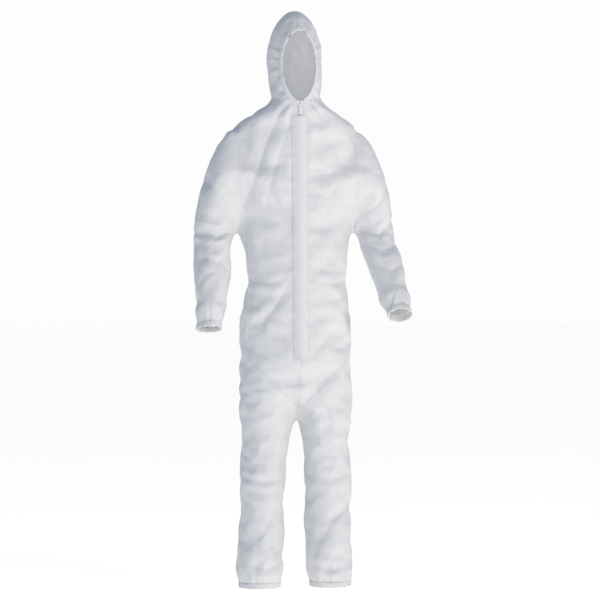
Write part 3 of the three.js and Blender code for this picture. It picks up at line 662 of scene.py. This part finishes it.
def make_cloth(name, points, faces, normals, thickness=CLOTH_MM, flat=None, seam=None):
    """A closed sheet: the outer face given in metres, an inner face under it and a rim round its edges."""
    count = len(points)
    inside = points - normals * thickness * MM
    back = [tuple(k + count for k in reversed(face)) for face in faces]
    rim = [(b, a, a + count, b + count) for a, b in free_edges([tuple(f) for f in faces])]
    sides = [0] * len(faces) + [1] * len(back) + [0] * len(rim)
    mesh = bpy.data.meshes.new(name)
    mesh.from_pydata(np.vstack([points, inside]).tolist(), [], [tuple(f) for f in faces] + back + rim)
    flat = points / MM if flat is None else flat
    write_points(mesh, "lay", np.vstack([flat, flat]) * MM)
    line = mesh.attributes.new("seam", "FLOAT", "POINT")
    seam = np.full(count, FAR_FROM_SEAM) if seam is None else seam
    line.data.foreach_set("value", np.concatenate([seam, seam]).astype(np.float32))
    add_uv(mesh, np.vstack([flat, flat]))
    mesh.polygons.foreach_set("material_index", sides)
    mesh.polygons.foreach_set("use_smooth", [True] * len(mesh.polygons))
    mesh.normals_split_custom_set_from_vertices(np.vstack([normals, -normals]).tolist())
    piece = bpy.data.objects.new(name, mesh)
    bpy.context.scene.collection.objects.link(piece)
    return piece


def add_uv(mesh, flat):
    layer = mesh.uv_layers.new(name="cloth")
    place, around = along_cloth(flat)
    corners = np.empty(len(mesh.loops), np.int32)
    mesh.loops.foreach_get("vertex_index", corners)
    starts = np.array([p.loop_start for p in mesh.polygons])
    sizes = np.array([p.loop_total for p in mesh.polygons])
    first = np.repeat(corners[starts], sizes)
    uv = place[corners]
    uv[:, 0] += around[corners] * np.round((place[first, 0] - uv[:, 0]) / around[corners])
    layer.data.foreach_set("uv", uv.astype(np.float32).ravel())


def cut_pieces(cloth):
    """Cuts the draped suit along its seams and returns the sewn pieces by name."""
    mesh = cloth.data
    write_points(mesh, "hung", read_points(mesh))
    write_points(mesh, "smooth", point_normals(mesh))
    write_points(mesh, "position", read_points(mesh, "flat"))
    made = bmesh.new()
    made.from_mesh(mesh)
    cut_seams(made)
    made.verts.index_update()
    hung, smooth = made.verts.layers.float_vector["hung"], made.verts.layers.float_vector["smooth"]
    points = np.array([v[hung] for v in made.verts])
    normals = np.array([v[smooth] for v in made.verts])
    normals /= np.maximum(np.linalg.norm(normals, axis=1), 1e-9)[:, None]
    flat = np.array([v.co for v in made.verts]) / MM
    chosen = {}
    for f in made.faces:
        chosen.setdefault(piece_name(f.calc_center_median() / MM), []).append([v.index for v in f.verts])
    made.free()
    bpy.data.objects.remove(cloth)
    pieces = {}
    seam = seam_distance(flat)
    chosen.pop(None, None)
    for name, faces in sorted(chosen.items()):
        used = sorted({k for f in faces for k in f})
        place = {k: n for n, k in enumerate(used)}
        faces = [[place[k] for k in f] for f in faces]
        pieces[name] = make_cloth(name + "_cloth", points[used], faces, normals[used],
                                  flat=flat[used], seam=seam[used])
    return pieces


# ---------------------------------------------------------------- hems, flap, tapes and elastics

def grid_faces(rows, columns, closed):
    """Quads of a grid of points, rows times columns, whose rows may close on themselves."""
    faces = []
    for i in range(rows - 1):
        for k in range(columns if closed else columns - 1):
            right = (k + 1) % columns
            faces.append((i * columns + k, i * columns + right, (i + 1) * columns + right, (i + 1) * columns + k))
    return faces


def make_band(name, grid, closed=False, thickness=CLOTH_MM, gathered=False, flip=False, seam=None):
    """A strip of cloth from rows of points in millimetres, puckered like the cloth beside it if gathered."""
    rows, columns = grid.shape[:2]
    flat = grid.reshape(-1, 3)
    faces = grid_faces(rows, columns, closed)
    if flip:
        faces = [f[::-1] for f in faces]
    guide = bpy.data.meshes.new("guide")
    guide.from_pydata(flat.tolist(), [], faces)
    normals = point_normals(guide)
    bpy.data.meshes.remove(guide)
    hung = flat + (normals * gathers(flat)[:, None] if gathered else 0)
    hung[:, 2] = np.maximum(hung[:, 2], ABOVE_FLOOR)
    return make_cloth(name, hung * MM, faces, normals, thickness, flat=flat, seam=seam)


def fold_profile(width):
    """Across and out along a folded hem, from its outer sewn edge round the fold to its inner one."""
    half = HEM_THICKNESS / 2
    bends = [(width - half + half * math.sin(t), half * math.cos(t))
             for t in [math.pi * k / 6 for k in range(7)]]
    outer = [(width * share, half) for share in (0.04, 0.12, 0.25, 0.45, 0.65)]
    lap = [(-3.0, half - 0.5), (-1.5, half + 0.1)]  # the sewn edge laps over the cloth's end
    return lap + outer + bends + [(a, -b) for a, b in reversed(outer)]


def make_strip(name, spine, columns, profile, closed=True, thickness=CLOTH_MM, flip=False, seam=None):
    """Cloth along a spine, which gives its start, way across and way out at each share of the length."""
    frames = [spine(k / columns) for k in range(columns)]
    rows = [[start + way * across + side * out for start, way, side in frames] for across, out in profile]
    return make_band(name, np.array(rows), closed, thickness, gathered=True, flip=flip, seam=seam)


def cuff_spine(side):
    """The end of a sleeve, for a strip to follow."""
    _, lean, along, elbow = forearm_frame(side)
    forward = Vector((0, -math.cos(lean), math.sin(lean)))
    radius = FOREARM[-1][1] - HEM_THICKNESS / 2

    def spine(turn):
        angle = 2 * math.pi * turn
        out = Vector((math.cos(angle), 0, 0)) + forward * math.sin(angle)
        return elbow + along * FOREARM_LENGTH + out * radius, along, out
    return spine


def ankle_spine(sign):
    """The end of a leg, for a strip to follow."""
    centre = Vector((sign * ANKLE.x, ANKLE.y, HEM_WIDTH - ABOVE_FLOOR))
    half_width, half_depth = 62.5, 69

    def spine(turn):
        angle = 2 * math.pi * turn
        out = Vector((math.cos(angle) * half_depth, math.sin(angle) * half_width, 0)).normalized()
        start = centre + Vector((math.cos(angle) * (half_width - HEM_THICKNESS / 2),
                                 math.sin(angle) * (half_depth - HEM_THICKNESS / 2), 0))
        return start, Vector((0, 0, -1)), out
    return spine


def face_spine(columns):
    """Where the face hem starts on the hood's edge, its way towards the face and its way out."""
    sweep = math.radians(167)

    def on_hood(reach, angle):
        x = (FACE_WIDE + 12 - reach) * math.sin(angle)
        z = FACE_Z + (FACE_TALL + 12 - reach) * math.cos(angle)
        half_width, front, back = read_rows(HOOD, max(z, NECK_Z))
        side = math.asin(max(-1, min(1, x / half_width)))
        y = (front + back) / 2 - (back - front) / 2 * math.cos(side)
        out = Vector((math.sin(side), -math.cos(side), 0))
        return Vector((x, y, z)) - out * HEM_THICKNESS / 2, out

    def spine(turn):
        angle = (turn * columns / (columns - 1) * 2 - 1) * sweep
        start, out = on_hood(0.8, angle)
        lip, _ = on_hood(0.8 + FACE_HEM_WIDTH, angle)
        return start, (lip - start).normalized(), out
    return spine


def make_face_hem():
    columns = 170
    spine, profile = face_spine(columns), fold_profile(FACE_HEM_WIDTH)
    seam = np.repeat(np.abs(np.arange(len(profile)) - 4) * 2.0, columns)
    hem = make_strip("hood_face_hem_cloth", spine, columns, profile, closed=False, flip=True, seam=seam)
    elastic = make_strip("hood_face_elastic_band", spine, columns, [(3 + 4 * k / 3, 0.3) for k in range(4)],
                         closed=False, thickness=0.6, flip=True)
    return hem, elastic


def find_cloth(tree, origin, direction, miss):
    """Where a line from inside the suit meets the cloth, in millimetres."""
    place, _, _, _ = tree.ray_cast(Vector(origin) * MM, Vector(direction).normalized())
    return miss if place is None else Vector(place) / MM


def lay_grid(rows, columns, place):
    """Grid of points from place(share up, share across)."""
    return np.array([[place(i / (rows - 1), k / (columns - 1)) for k in range(columns)] for i in range(rows)])


def make_waist(tree):
    """The flat elastic sewn inside the waist and the strip of cloth that covers it."""
    made = []
    for name, depth, thickness, half_height in (("waist_elastic_band", 1.6, 0.9, 9),
                                                ("waist_casing_strip", 2.9, CLOTH_MM, 13)):
        def place(up, across):
            middle = Vector((0, -12, WAIST_Z - half_height + 2 * half_height * up))
            angle = math.radians(52 + (360 - 104) * across)
            way = Vector((math.sin(angle) * 1.6, -math.cos(angle), 0)).normalized()
            return find_cloth(tree, middle, way, middle + way * 120) - way * (depth + CLOTH_MM)

        grid = lay_grid(7, 260, place)
        for _ in range(3):  # evens out the way across the creases
            grid[:, 1:-1] = (grid[:, :-2] + grid[:, 1:-1] * 2 + grid[:, 2:]) / 4
        if name == "waist_casing_strip":
            grid[:, :, :2] *= 0.994
        made.append(make_band(name, grid, thickness=thickness))
    return made


def make_label(tree):
    """Blank woven label, sewn along its top inside the back of the neck, so that its lower end curls."""
    def place(up, across):
        x, z = 2 + 30 * across, SHOULDER[1] + 51 * up
        met = find_cloth(tree, (x, 0, z), (0, 1, 0), Vector((x, 70, z)))
        curl = 3.0 * math.sin(math.pi * (1 - up)) ** 2 if z < 1450 else 0
        return met - Vector((0, 1.6 + curl, 0))
    return make_band("size_label_cloth", lay_grid(12, 8, place), thickness=0.3, flip=True)


def make_tape(side, sign):
    """Zip tape, sewn under the front panel's edge."""
    def place(up, across):
        z = ZIP_BOTTOM_Z + 1 + (ZIP_TOP_Z - ZIP_BOTTOM_Z - 1) * up
        return sign * (3.4 + 10.6 * across), front_y(z) + 2.2 + 0.25 * math.sin(131.4 * up), z
    return make_band(f"zip_tape_{side}_cloth", lay_grid(220, 5, place), thickness=0.6, flip=sign < 0)


FRONT_TILT = math.atan2(FRONT_HIGH_Y - FRONT_LOW_Y, NECK_Z - FRONT_BEND_Z)


def on_front(x, out, z):
    """Point at a distance out from the straight front line."""
    along = (z - FRONT_BEND_Z) / math.cos(FRONT_TILT)
    return Vector((x, FRONT_LOW_Y + along * math.sin(FRONT_TILT) - out * math.cos(FRONT_TILT),
                   FRONT_BEND_Z + along * math.cos(FRONT_TILT) + out * math.sin(FRONT_TILT)))


def make_flap(tree):
    """Storm flap, two layers sewn into one, arched over the zip and slightly wavy along its free edge."""
    rows, columns = 240, 22

    def place(up, across):
        z = FLAP_BOTTOM_Z + (FLAP_TOP_Z - FLAP_BOTTOM_Z) * up
        x = FLAP_SEWN_X + (FLAP_FREE_X - FLAP_SEWN_X) * across
        wave = noise.noise(Vector((z / 60, 1, 0))) * 1.6 + noise.noise(Vector((z / 23, 4, 0))) * 0.7
        sewn_y, free_y = [find_cloth(tree, (edge, 0, z), (0, -1, 0), Vector((0, front_y(z), z))).y
                          for edge in (FLAP_SEWN_X, FLAP_FREE_X)]
        round_share = max(math.sin(math.pi * across), 0)
        ripple = 0.4 * noise.noise(Vector((x / 14, z / 30, 3)))
        low = sewn_y + (free_y - sewn_y) * across - 1.4 - max(wave, 0) * 0.5 * across * across
        high = on_front(x, 5.2 * round_share ** 0.9 + 0.7 + 0.5 * ripple, z).y
        return x + wave * 0.5 * across, low + (high - low) * round_share ** 0.5, z

    seam = np.tile(np.arange(columns) * 2.1 + 2.0, rows)
    return make_band("storm_flap_cloth", lay_grid(rows, columns, place), thickness=1.0, flip=True, seam=seam)


# ---------------------------------------------------------------- zip teeth

def settle(piece):
    """Puts the piece's place and size into its mesh."""
    select_only(piece)
    bpy.ops.object.transform_apply(location=True, rotation=True, scale=True)
    piece.select_set(False)


def make_coil(side, sign):
    """Row of moulded teeth, one every 2.5 mm."""
    bpy.ops.mesh.primitive_cube_add(size=1)
    piece = bpy.context.object
    piece.name = piece.data.name = f"zip_teeth_{side}"
    piece.scale = (2.1 * MM, 2.1 * MM, 1.5 * MM)
    settle(piece)
    bevel = piece.modifiers.new("soft_edges", "BEVEL")
    bevel.width, bevel.segments = 0.5 * MM, 2
    row = piece.modifiers.new("teeth", "ARRAY")
    row.use_relative_offset, row.use_constant_offset = False, True
    row.constant_offset_displace = (0, 0, 2.5 * MM)
    row.count = 299
    apply_modifiers(piece)
    piece.rotation_euler = (-FRONT_TILT, 0, 0)
    piece.location = on_front(sign * 1.95, -1.85, ZIP_BOTTOM_Z + 6.2 + (1.2 if sign > 0 else 0)) * MM
    settle(piece)
    select_only(piece)
    bpy.ops.object.shade_smooth_by_angle(angle=math.radians(40))
    piece.select_set(False)
    return piece


# ---------------------------------------------------------------- materials

def paint(code):
    """Linear colour from a web colour code."""
    parts = [int(code[k:k + 2], 16) / 255 for k in (1, 3, 5)]
    return [c / 12.92 if c <= 0.04045 else ((c + 0.055) / 1.055) ** 2.4 for c in parts] + [1]


def add_node(tree, kind, inputs=None, output=0, **settings):
    """Adds a node with its settings and links, and returns the socket that carries its result."""
    node = tree.nodes.new("ShaderNode" + kind)
    for key, value in settings.items():
        setattr(node, key, value)
    for key, value in (inputs or {}).items():
        if isinstance(value, bpy.types.NodeSocket):
            tree.links.new(value, node.inputs[key])
        else:
            node.inputs[key].default_value = value
    return node.outputs[output] if node.outputs else None


def new_material(name):
    """An empty material, and add_node for its tree."""
    material = bpy.data.materials.new(name)
    material.use_nodes = True
    material.node_tree.nodes.clear()
    return material, partial(add_node, material.node_tree)


# through sets the strength of a painted glow on the cloth, standing in for light that passes through it
def nonwoven(name, light, shade, pitch_mm, crinkle, through=0.0):
    """Laminated nonwoven: matted fibres bonded in a diamond grid of small embossed points, creped by its film."""
    material, node = new_material(name)
    uv = node("UVMap", uv_map="cloth")
    lay = node("Attribute", output="Vector", attribute_name="lay")
    seam = node("Attribute", output="Fac", attribute_name="seam")
    u, v = node("SeparateXYZ", {0: uv}).node.outputs[:2]

    # embossed bonding points, where two slanting waves cross
    turn = math.pi / (pitch_mm * MM)
    across = node("Math", {0: u, 1: turn}, operation="MULTIPLY")
    along = node("Math", {0: v, 1: turn}, operation="MULTIPLY")
    slant, other_slant = [
        node("Math", {0: node("Math", {0: across, 1: along}, operation=way)}, operation="SINE")
        for way in ("ADD", "SUBTRACT")]
    crossing = node("Math", {0: slant, 1: other_slant}, operation="MULTIPLY")
    points = node("Math", {0: node("Math", {0: crossing}, operation="ABSOLUTE"), 1: 3.0}, operation="POWER")

    # loose fibres, their uneven laydown, the crepe of the film and broad handling marks
    fibres = node("TexNoise", {"Vector": uv, "Scale": 1400, "Detail": 4, "Roughness": 0.65})
    cloudy = node("TexNoise", {"Vector": lay, "Scale": 26, "Detail": 5, "Roughness": 0.6})
    crepe = node("TexNoise", {"Vector": lay, "Scale": 70, "Detail": 3, "Roughness": 0.55, "Distortion": 0.6})
    broad = node("TexNoise", {"Vector": lay, "Scale": 22, "Detail": 2, "Distortion": 1.2})

    # the ridge beside a seam, the groove in it and a row of overlock stitches 4.5 mm away
    near_seam = node("MapRange", {0: seam, 1: 0.0, 2: 3.2, 3: 1.0, 4: 0.0}, interpolation_type="SMOOTHSTEP")
    at_seam = node("MapRange", {0: seam, 1: 0.0, 2: 0.9, 3: 1.0, 4: 0.0})
    groove = node("Math", {0: at_seam, 1: 0.9}, operation="MULTIPLY")
    ridge = node("Math", {0: near_seam, 1: groove}, operation="SUBTRACT")
    slanting = node("Math", {0: node("Math", {0: u, 1: v}, operation="ADD"), 1: 2100}, operation="MULTIPLY")
    stitch = node("Math", {0: node("Math", {0: slanting}, operation="SINE"), 1: 0.5}, operation="MULTIPLY")
    off_row = node("Math", {0: node("Math", {0: seam, 1: 4.5}, operation="SUBTRACT")}, operation="ABSOLUTE")
    row = node("MapRange", {0: off_row, 1: 0.0, 2: 0.8, 3: 1.0, 4: 0.0})
    stitched = node("Math", {0: row, 1: node("Math", {0: stitch, 1: 0.5}, operation="ADD")}, operation="MULTIPLY")

    relief = {}
    for height, depth_mm, strength in (
            (crepe, 0.9 * crinkle, 0.6), (broad, 2.2 * crinkle, 0.5), (ridge, 0.7, 0.8),
            (stitched, -0.25, 0.7), (points, -0.14, 0.55), (fibres, 0.05, 0.5)):
        relief = {"Normal": node("Bump", {"Height": height, "Distance": depth_mm * MM, "Strength": strength,
                                          **relief})}

    # pressed points, seams and stitches gather a little grey
    tint = node("Mix", {0: cloudy, 6: paint(light), 7: paint(shade)}, output=2, data_type="RGBA")
    dots = node("Math", {0: points, 1: 0.10}, operation="MULTIPLY")
    pressed = node("Mix", {0: dots, 6: tint, 7: paint("#b9bec5")}, output=2, data_type="RGBA")
    lines = node("Math", {0: node("Math", {0: at_seam, 1: 0.22}, operation="MULTIPLY"),
                          1: node("Math", {0: stitched, 1: 0.14}, operation="MULTIPLY")}, operation="ADD")
    colour = node("Mix", {0: lines, 6: pressed, 7: paint("#a3aab3")}, output=2, data_type="RGBA")
    rough = node("MapRange", {0: fibres, 1: 0.3, 2: 0.7, 3: 0.5, 4: 0.66})
    glossy_points = node("Math", {0: points, 1: 0.12}, operation="MULTIPLY")
    surface = node("BsdfPrincipled", {
        "Base Color": colour, "Roughness": node("Math", {0: rough, 1: glossy_points}, operation="SUBTRACT"),
        "Emission Color": (1, 1, 1, 1), "Emission Strength": through,  # painted glow, which stands in for daylight through the thin cloth
        "Sheen Weight": 0.12, "Sheen Roughness": 0.5, "IOR": 1.45, **relief})
    node("OutputMaterial", {"Surface": surface})
    return material


def woven(name, light, shade, rib_mm, cross_mm, depth_mm, rough):
    """Narrow woven or knitted band: ribs along it and finer picks across."""
    material, node = new_material(name)
    uv = node("UVMap", uv_map="cloth")
    u, v = node("SeparateXYZ", {0: uv}).node.outputs[:2]
    ribs, picks = [
        node("Math", {0: node("Math", {0: way, 1: 2 * math.pi / (size_mm * MM)}, operation="MULTIPLY")},
             operation="SINE") for way, size_mm in ((u, rib_mm), (v, cross_mm))]
    weave = node("Math", {0: ribs, 1: picks}, operation="MULTIPLY")
    worn = node("TexNoise", {"Vector": uv, "Scale": 160, "Detail": 3})
    share = node("Math", {0: node("Math", {0: weave, 1: 0.25}, operation="MULTIPLY"),
                          1: node("Math", {0: worn, 1: 0.6}, operation="MULTIPLY")}, operation="ADD")
    surface = node("BsdfPrincipled", {
        "Base Color": node("Mix", {0: share, 6: paint(light), 7: paint(shade)}, output=2, data_type="RGBA"),
        "Normal": node("Bump", {"Height": weave, "Distance": depth_mm * MM, "Strength": 0.8}),
        "Roughness": rough, "Sheen Weight": 0.15})
    node("OutputMaterial", {"Surface": surface})
    return material


def moulded(name, light, shade, rough, grain_mm):
    """Injection-moulded plastic with a faint flow cloudiness and a fine matt grain."""
    material, node = new_material(name)
    place = node("TexCoord", output="Object")
    cloud = node("TexNoise", {"Vector": place, "Scale": 120, "Detail": 3})
    grain = node("TexNoise", {"Vector": place, "Scale": 1 / (grain_mm * MM), "Detail": 2})
    faint = node("Math", {0: grain, 1: 0.2}, operation="MULTIPLY")
    surface = node("BsdfPrincipled", {
        "Base Color": node("Mix", {0: cloud, 6: paint(light), 7: paint(shade)}, output=2, data_type="RGBA"),
        "Roughness": node("Math", {0: faint, 1: rough - 0.1}, operation="ADD"),
        "Normal": node("Bump", {"Height": grain, "Distance": 0.03 * MM, "Strength": 0.6})})
    node("OutputMaterial", {"Surface": surface})
    return material


def give(piece, material, inside=None):
    """The outer finish, and the inner one for a piece of cloth."""
    sides = [polygon.material_index for polygon in piece.data.polygons]
    piece.data.materials.clear()
    piece.data.materials.append(material)
    if inside is None:
        sides = [0] * len(sides)
    else:
        piece.data.materials.append(inside)
    piece.data.polygons.foreach_set("material_index", sides)


# ---------------------------------------------------------------- fastening to the frame

def bend_limbs(pieces):
    """Bakes the place of each sleeve and leg piece into its mesh."""
    for side, (sign, _, _) in ARMS.items():
        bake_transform(pieces[f"{side}_upper_sleeve"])
        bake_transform(pieces[f"{side}_forearm_sleeve"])
        for face in ("front", "back"):
            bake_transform(pieces[f"{side}_thigh_{face}"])
            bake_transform(pieces[f"{side}_shin_{face}"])


def declare_panels(pieces):
    """Hides the file's part for each panel, ties the front and back panels to the trunk and bakes the hood panels
    in place.
    """
    for name, piece in pieces.items():
        kind = "hood" if name.startswith("hood") else name.split("_", 1)[1]
        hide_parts(name)
        if kind in ("front_panel", "back_panel"):
            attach(piece, "trunk")
        if kind == "hood":
            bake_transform(piece)


def fasten(piece, node, body, finish):
    """Finishes a piece and ties it to the frame, or bakes its place into its mesh if it rides on the hood; hides
    the file's part.
    """
    give(piece, finish)
    if body == "hood":
        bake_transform(piece)
    else:
        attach(piece, body)
    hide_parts(node)


def main():
    # Body cloth: spunbond polypropylene under a thin film, heat-bonded in points; matt white with fine creping
    fabric = nonwoven("laminated_nonwoven", "#dedfe0", "#d1d4d8", 2.3, 1.0)
    # The same cloth folded flat over elastic, so less creped
    hem_fabric = nonwoven("nonwoven_hem", "#dfe0e1", "#d3d5d8", 2.3, 0.4)
    # Its uncoated inner face, with a faint painted glow that stands in for the light passing through the thin
    # cloth
    inside = nonwoven("nonwoven_inside", "#dcdddf", "#cdd0d4", 2.3, 1.0, through=0.12)
    # Lighter spunbond strip with closer points, stitched flat over the waist elastic
    casing_fabric = nonwoven("casing_nonwoven", "#d8dadd", "#cbcfd4", 1.8, 0.4)
    # Covered rubber knitted into a ribbed band; dull and slightly warm
    elastic = woven("knitted_elastic", "#f1f1ef", "#dcdcda", 1.1, 0.9, 0.25, 0.85)
    # Woven polyester tape; a tight, flat and dull weave
    tape_weave = woven("zip_tape_weave", "#eff0f0", "#dfe1e2", 0.5, 0.6, 0.12, 0.75)
    # Woven polyester satin; the smoothest cloth here, with a soft gloss
    label_cloth = woven("label_satin", "#f8f8f6", "#ecece9", 0.3, 0.3, 0.05, 0.55)
    # Nylon moulded into teeth and stops; milky, half glossy
    nylon = moulded("zip_nylon", "#f3f3f2", "#e6e7e7", 0.38, 0.15)
    # Acetal moulded into the slider and its tab; cooler and glossier than the teeth
    slider_plastic = moulded("slider_plastic", "#e9ebed", "#d8dcdf", 0.32, 0.2)

    cloth = hang_suit()
    crease(cloth)
    tree = BVHTree.FromObject(cloth, bpy.context.evaluated_depsgraph_get())
    waist_elastic, waist_casing = make_waist(tree)
    label = make_label(tree)
    pieces = cut_pieces(cloth)
    for piece in pieces.values():
        give(piece, fabric, inside)
    declare_panels(pieces)
    bend_limbs(pieces)

    for side, (sign, _, _) in ARMS.items():
        cuff, ankle, ribbon = cuff_spine(side), ankle_spine(sign), [(3 + 2 * k, 0.45) for k in range(5)]
        forearm, shin = f"{side}_forearm", f"{side}_shin"
        fasten(make_strip(f"{side}_cuff_hem_cloth", cuff, 160, fold_profile(HEM_WIDTH)),
               f"{side}_cuff_hem", forearm, hem_fabric)
        fasten(make_strip(f"{side}_ankle_hem_cloth", ankle, 200, fold_profile(HEM_WIDTH - ABOVE_FLOOR), flip=True),
               f"{side}_ankle_hem", shin, hem_fabric)
        fasten(make_strip(f"{side}_cuff_elastic_band", cuff, 120, ribbon, thickness=0.9),
               f"{side}_cuff_elastic", forearm, elastic)
        fasten(make_strip(f"{side}_ankle_elastic_band", ankle, 150, ribbon, thickness=0.9, flip=True),
               f"{side}_ankle_elastic", shin, elastic)
        fasten(make_tape(side, sign),
               f"zip_tape_{side}", "trunk", tape_weave)
        fasten(make_coil(side, sign), f"zip_coil_{side}", "trunk", nylon)
        give(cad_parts[f"zip_top_stop_{side}"], nylon)

    hood_hem, hood_elastic = make_face_hem()
    fasten(hood_hem, "hood_face_hem", "hood", hem_fabric)
    fasten(hood_elastic, "hood_face_elastic", "hood", elastic)
    fasten(waist_elastic, "waist_elastic", "trunk", elastic)
    fasten(waist_casing, "waist_casing", "trunk", casing_fabric)
    fasten(label, "size_label", "trunk", label_cloth)
    fasten(make_flap(tree), "storm_flap", "storm_flap_body", fabric)

    give(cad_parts["zip_bottom_stop"], nylon)
    for node in ("zip_slider", "pull_tab"):
        give(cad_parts[node], slider_plastic)
        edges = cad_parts[node].modifiers.new("soft_edges", "BEVEL")
        edges.width, edges.segments, edges.limit_method = 0.25 * MM, 2, "ANGLE"


# ---------------------------------------------------------------- studio

def add_camera():
    data = bpy.data.cameras.new("camera")
    data.lens, data.sensor_width = 150, 36
    camera = bpy.data.objects.new("camera", data)
    bpy.context.scene.collection.objects.link(camera)
    turn, away = math.radians(-10), 7.6
    aim = Vector((0.015, 0, 0.872))
    camera.location = aim + Vector((math.sin(turn) * away, -math.cos(turn) * away, 0.0))
    camera.rotation_euler = (math.radians(90), 0, turn)
    bpy.context.scene.camera = camera


def add_light(name, place, aim, size, power, colour):
    data = bpy.data.lights.new(name, "AREA")
    data.shape, data.size, data.energy = "DISK", size, power
    data.color = paint(colour)[:3]
    light = bpy.data.objects.new(name, data)
    bpy.context.scene.collection.objects.link(light)
    light.location = place
    light.rotation_euler = (Vector(place) - Vector(aim)).to_track_quat("Z", "Y").to_euler()


def add_studio():
    bpy.ops.object.select_all(action="DESELECT")
    bpy.ops.mesh.primitive_plane_add(size=160, location=(0, 0, 0))
    floor = bpy.context.object
    floor.name = "studio_floor"
    floor.select_set(False)
    # Painted board, white and quite matt; its slight glow stands for the light a studio throws on it
    material, node = new_material("pale_floor")
    faint = node("TexNoise", {"Vector": node("TexCoord", output="Object"), "Scale": 3})
    surface = node("BsdfPrincipled", {
        "Base Color": node("Mix", {0: faint, 6: paint("#f7f5f2"), 7: paint("#faf8f5")}, output=2,
                           data_type="RGBA"),
        "Roughness": 0.9, "Emission Color": (1, 0.955, 0.87, 1), "Emission Strength": 0.72})
    node("OutputMaterial", {"Surface": surface})
    give(floor, material)
    world = bpy.data.worlds.new("studio_air")
    world.use_nodes = True
    world.node_tree.nodes.clear()
    air = partial(add_node, world.node_tree)
    soft = air("Background", {"Color": paint("#cbdefb"), "Strength": 0.41})
    white = air("Background", {"Color": paint("#fdfdfe"), "Strength": 1.0})
    seen = air("LightPath", output="Is Camera Ray")
    air("OutputWorld", {0: air("MixShader", {0: seen, 1: soft, 2: white})})
    bpy.context.scene.world = world
    add_light("key", (3.0, -3.6, 1.7), (0, 0, 1.0), 1.3, 76, "#fff1e2")
    add_light("fill", (-1.0, -5.0, 1.8), (0, 0, 1.2), 2.0, 30, "#fff8f0")
    bpy.context.scene.view_settings.view_transform = "Standard"


add_camera()
add_studio()
main()
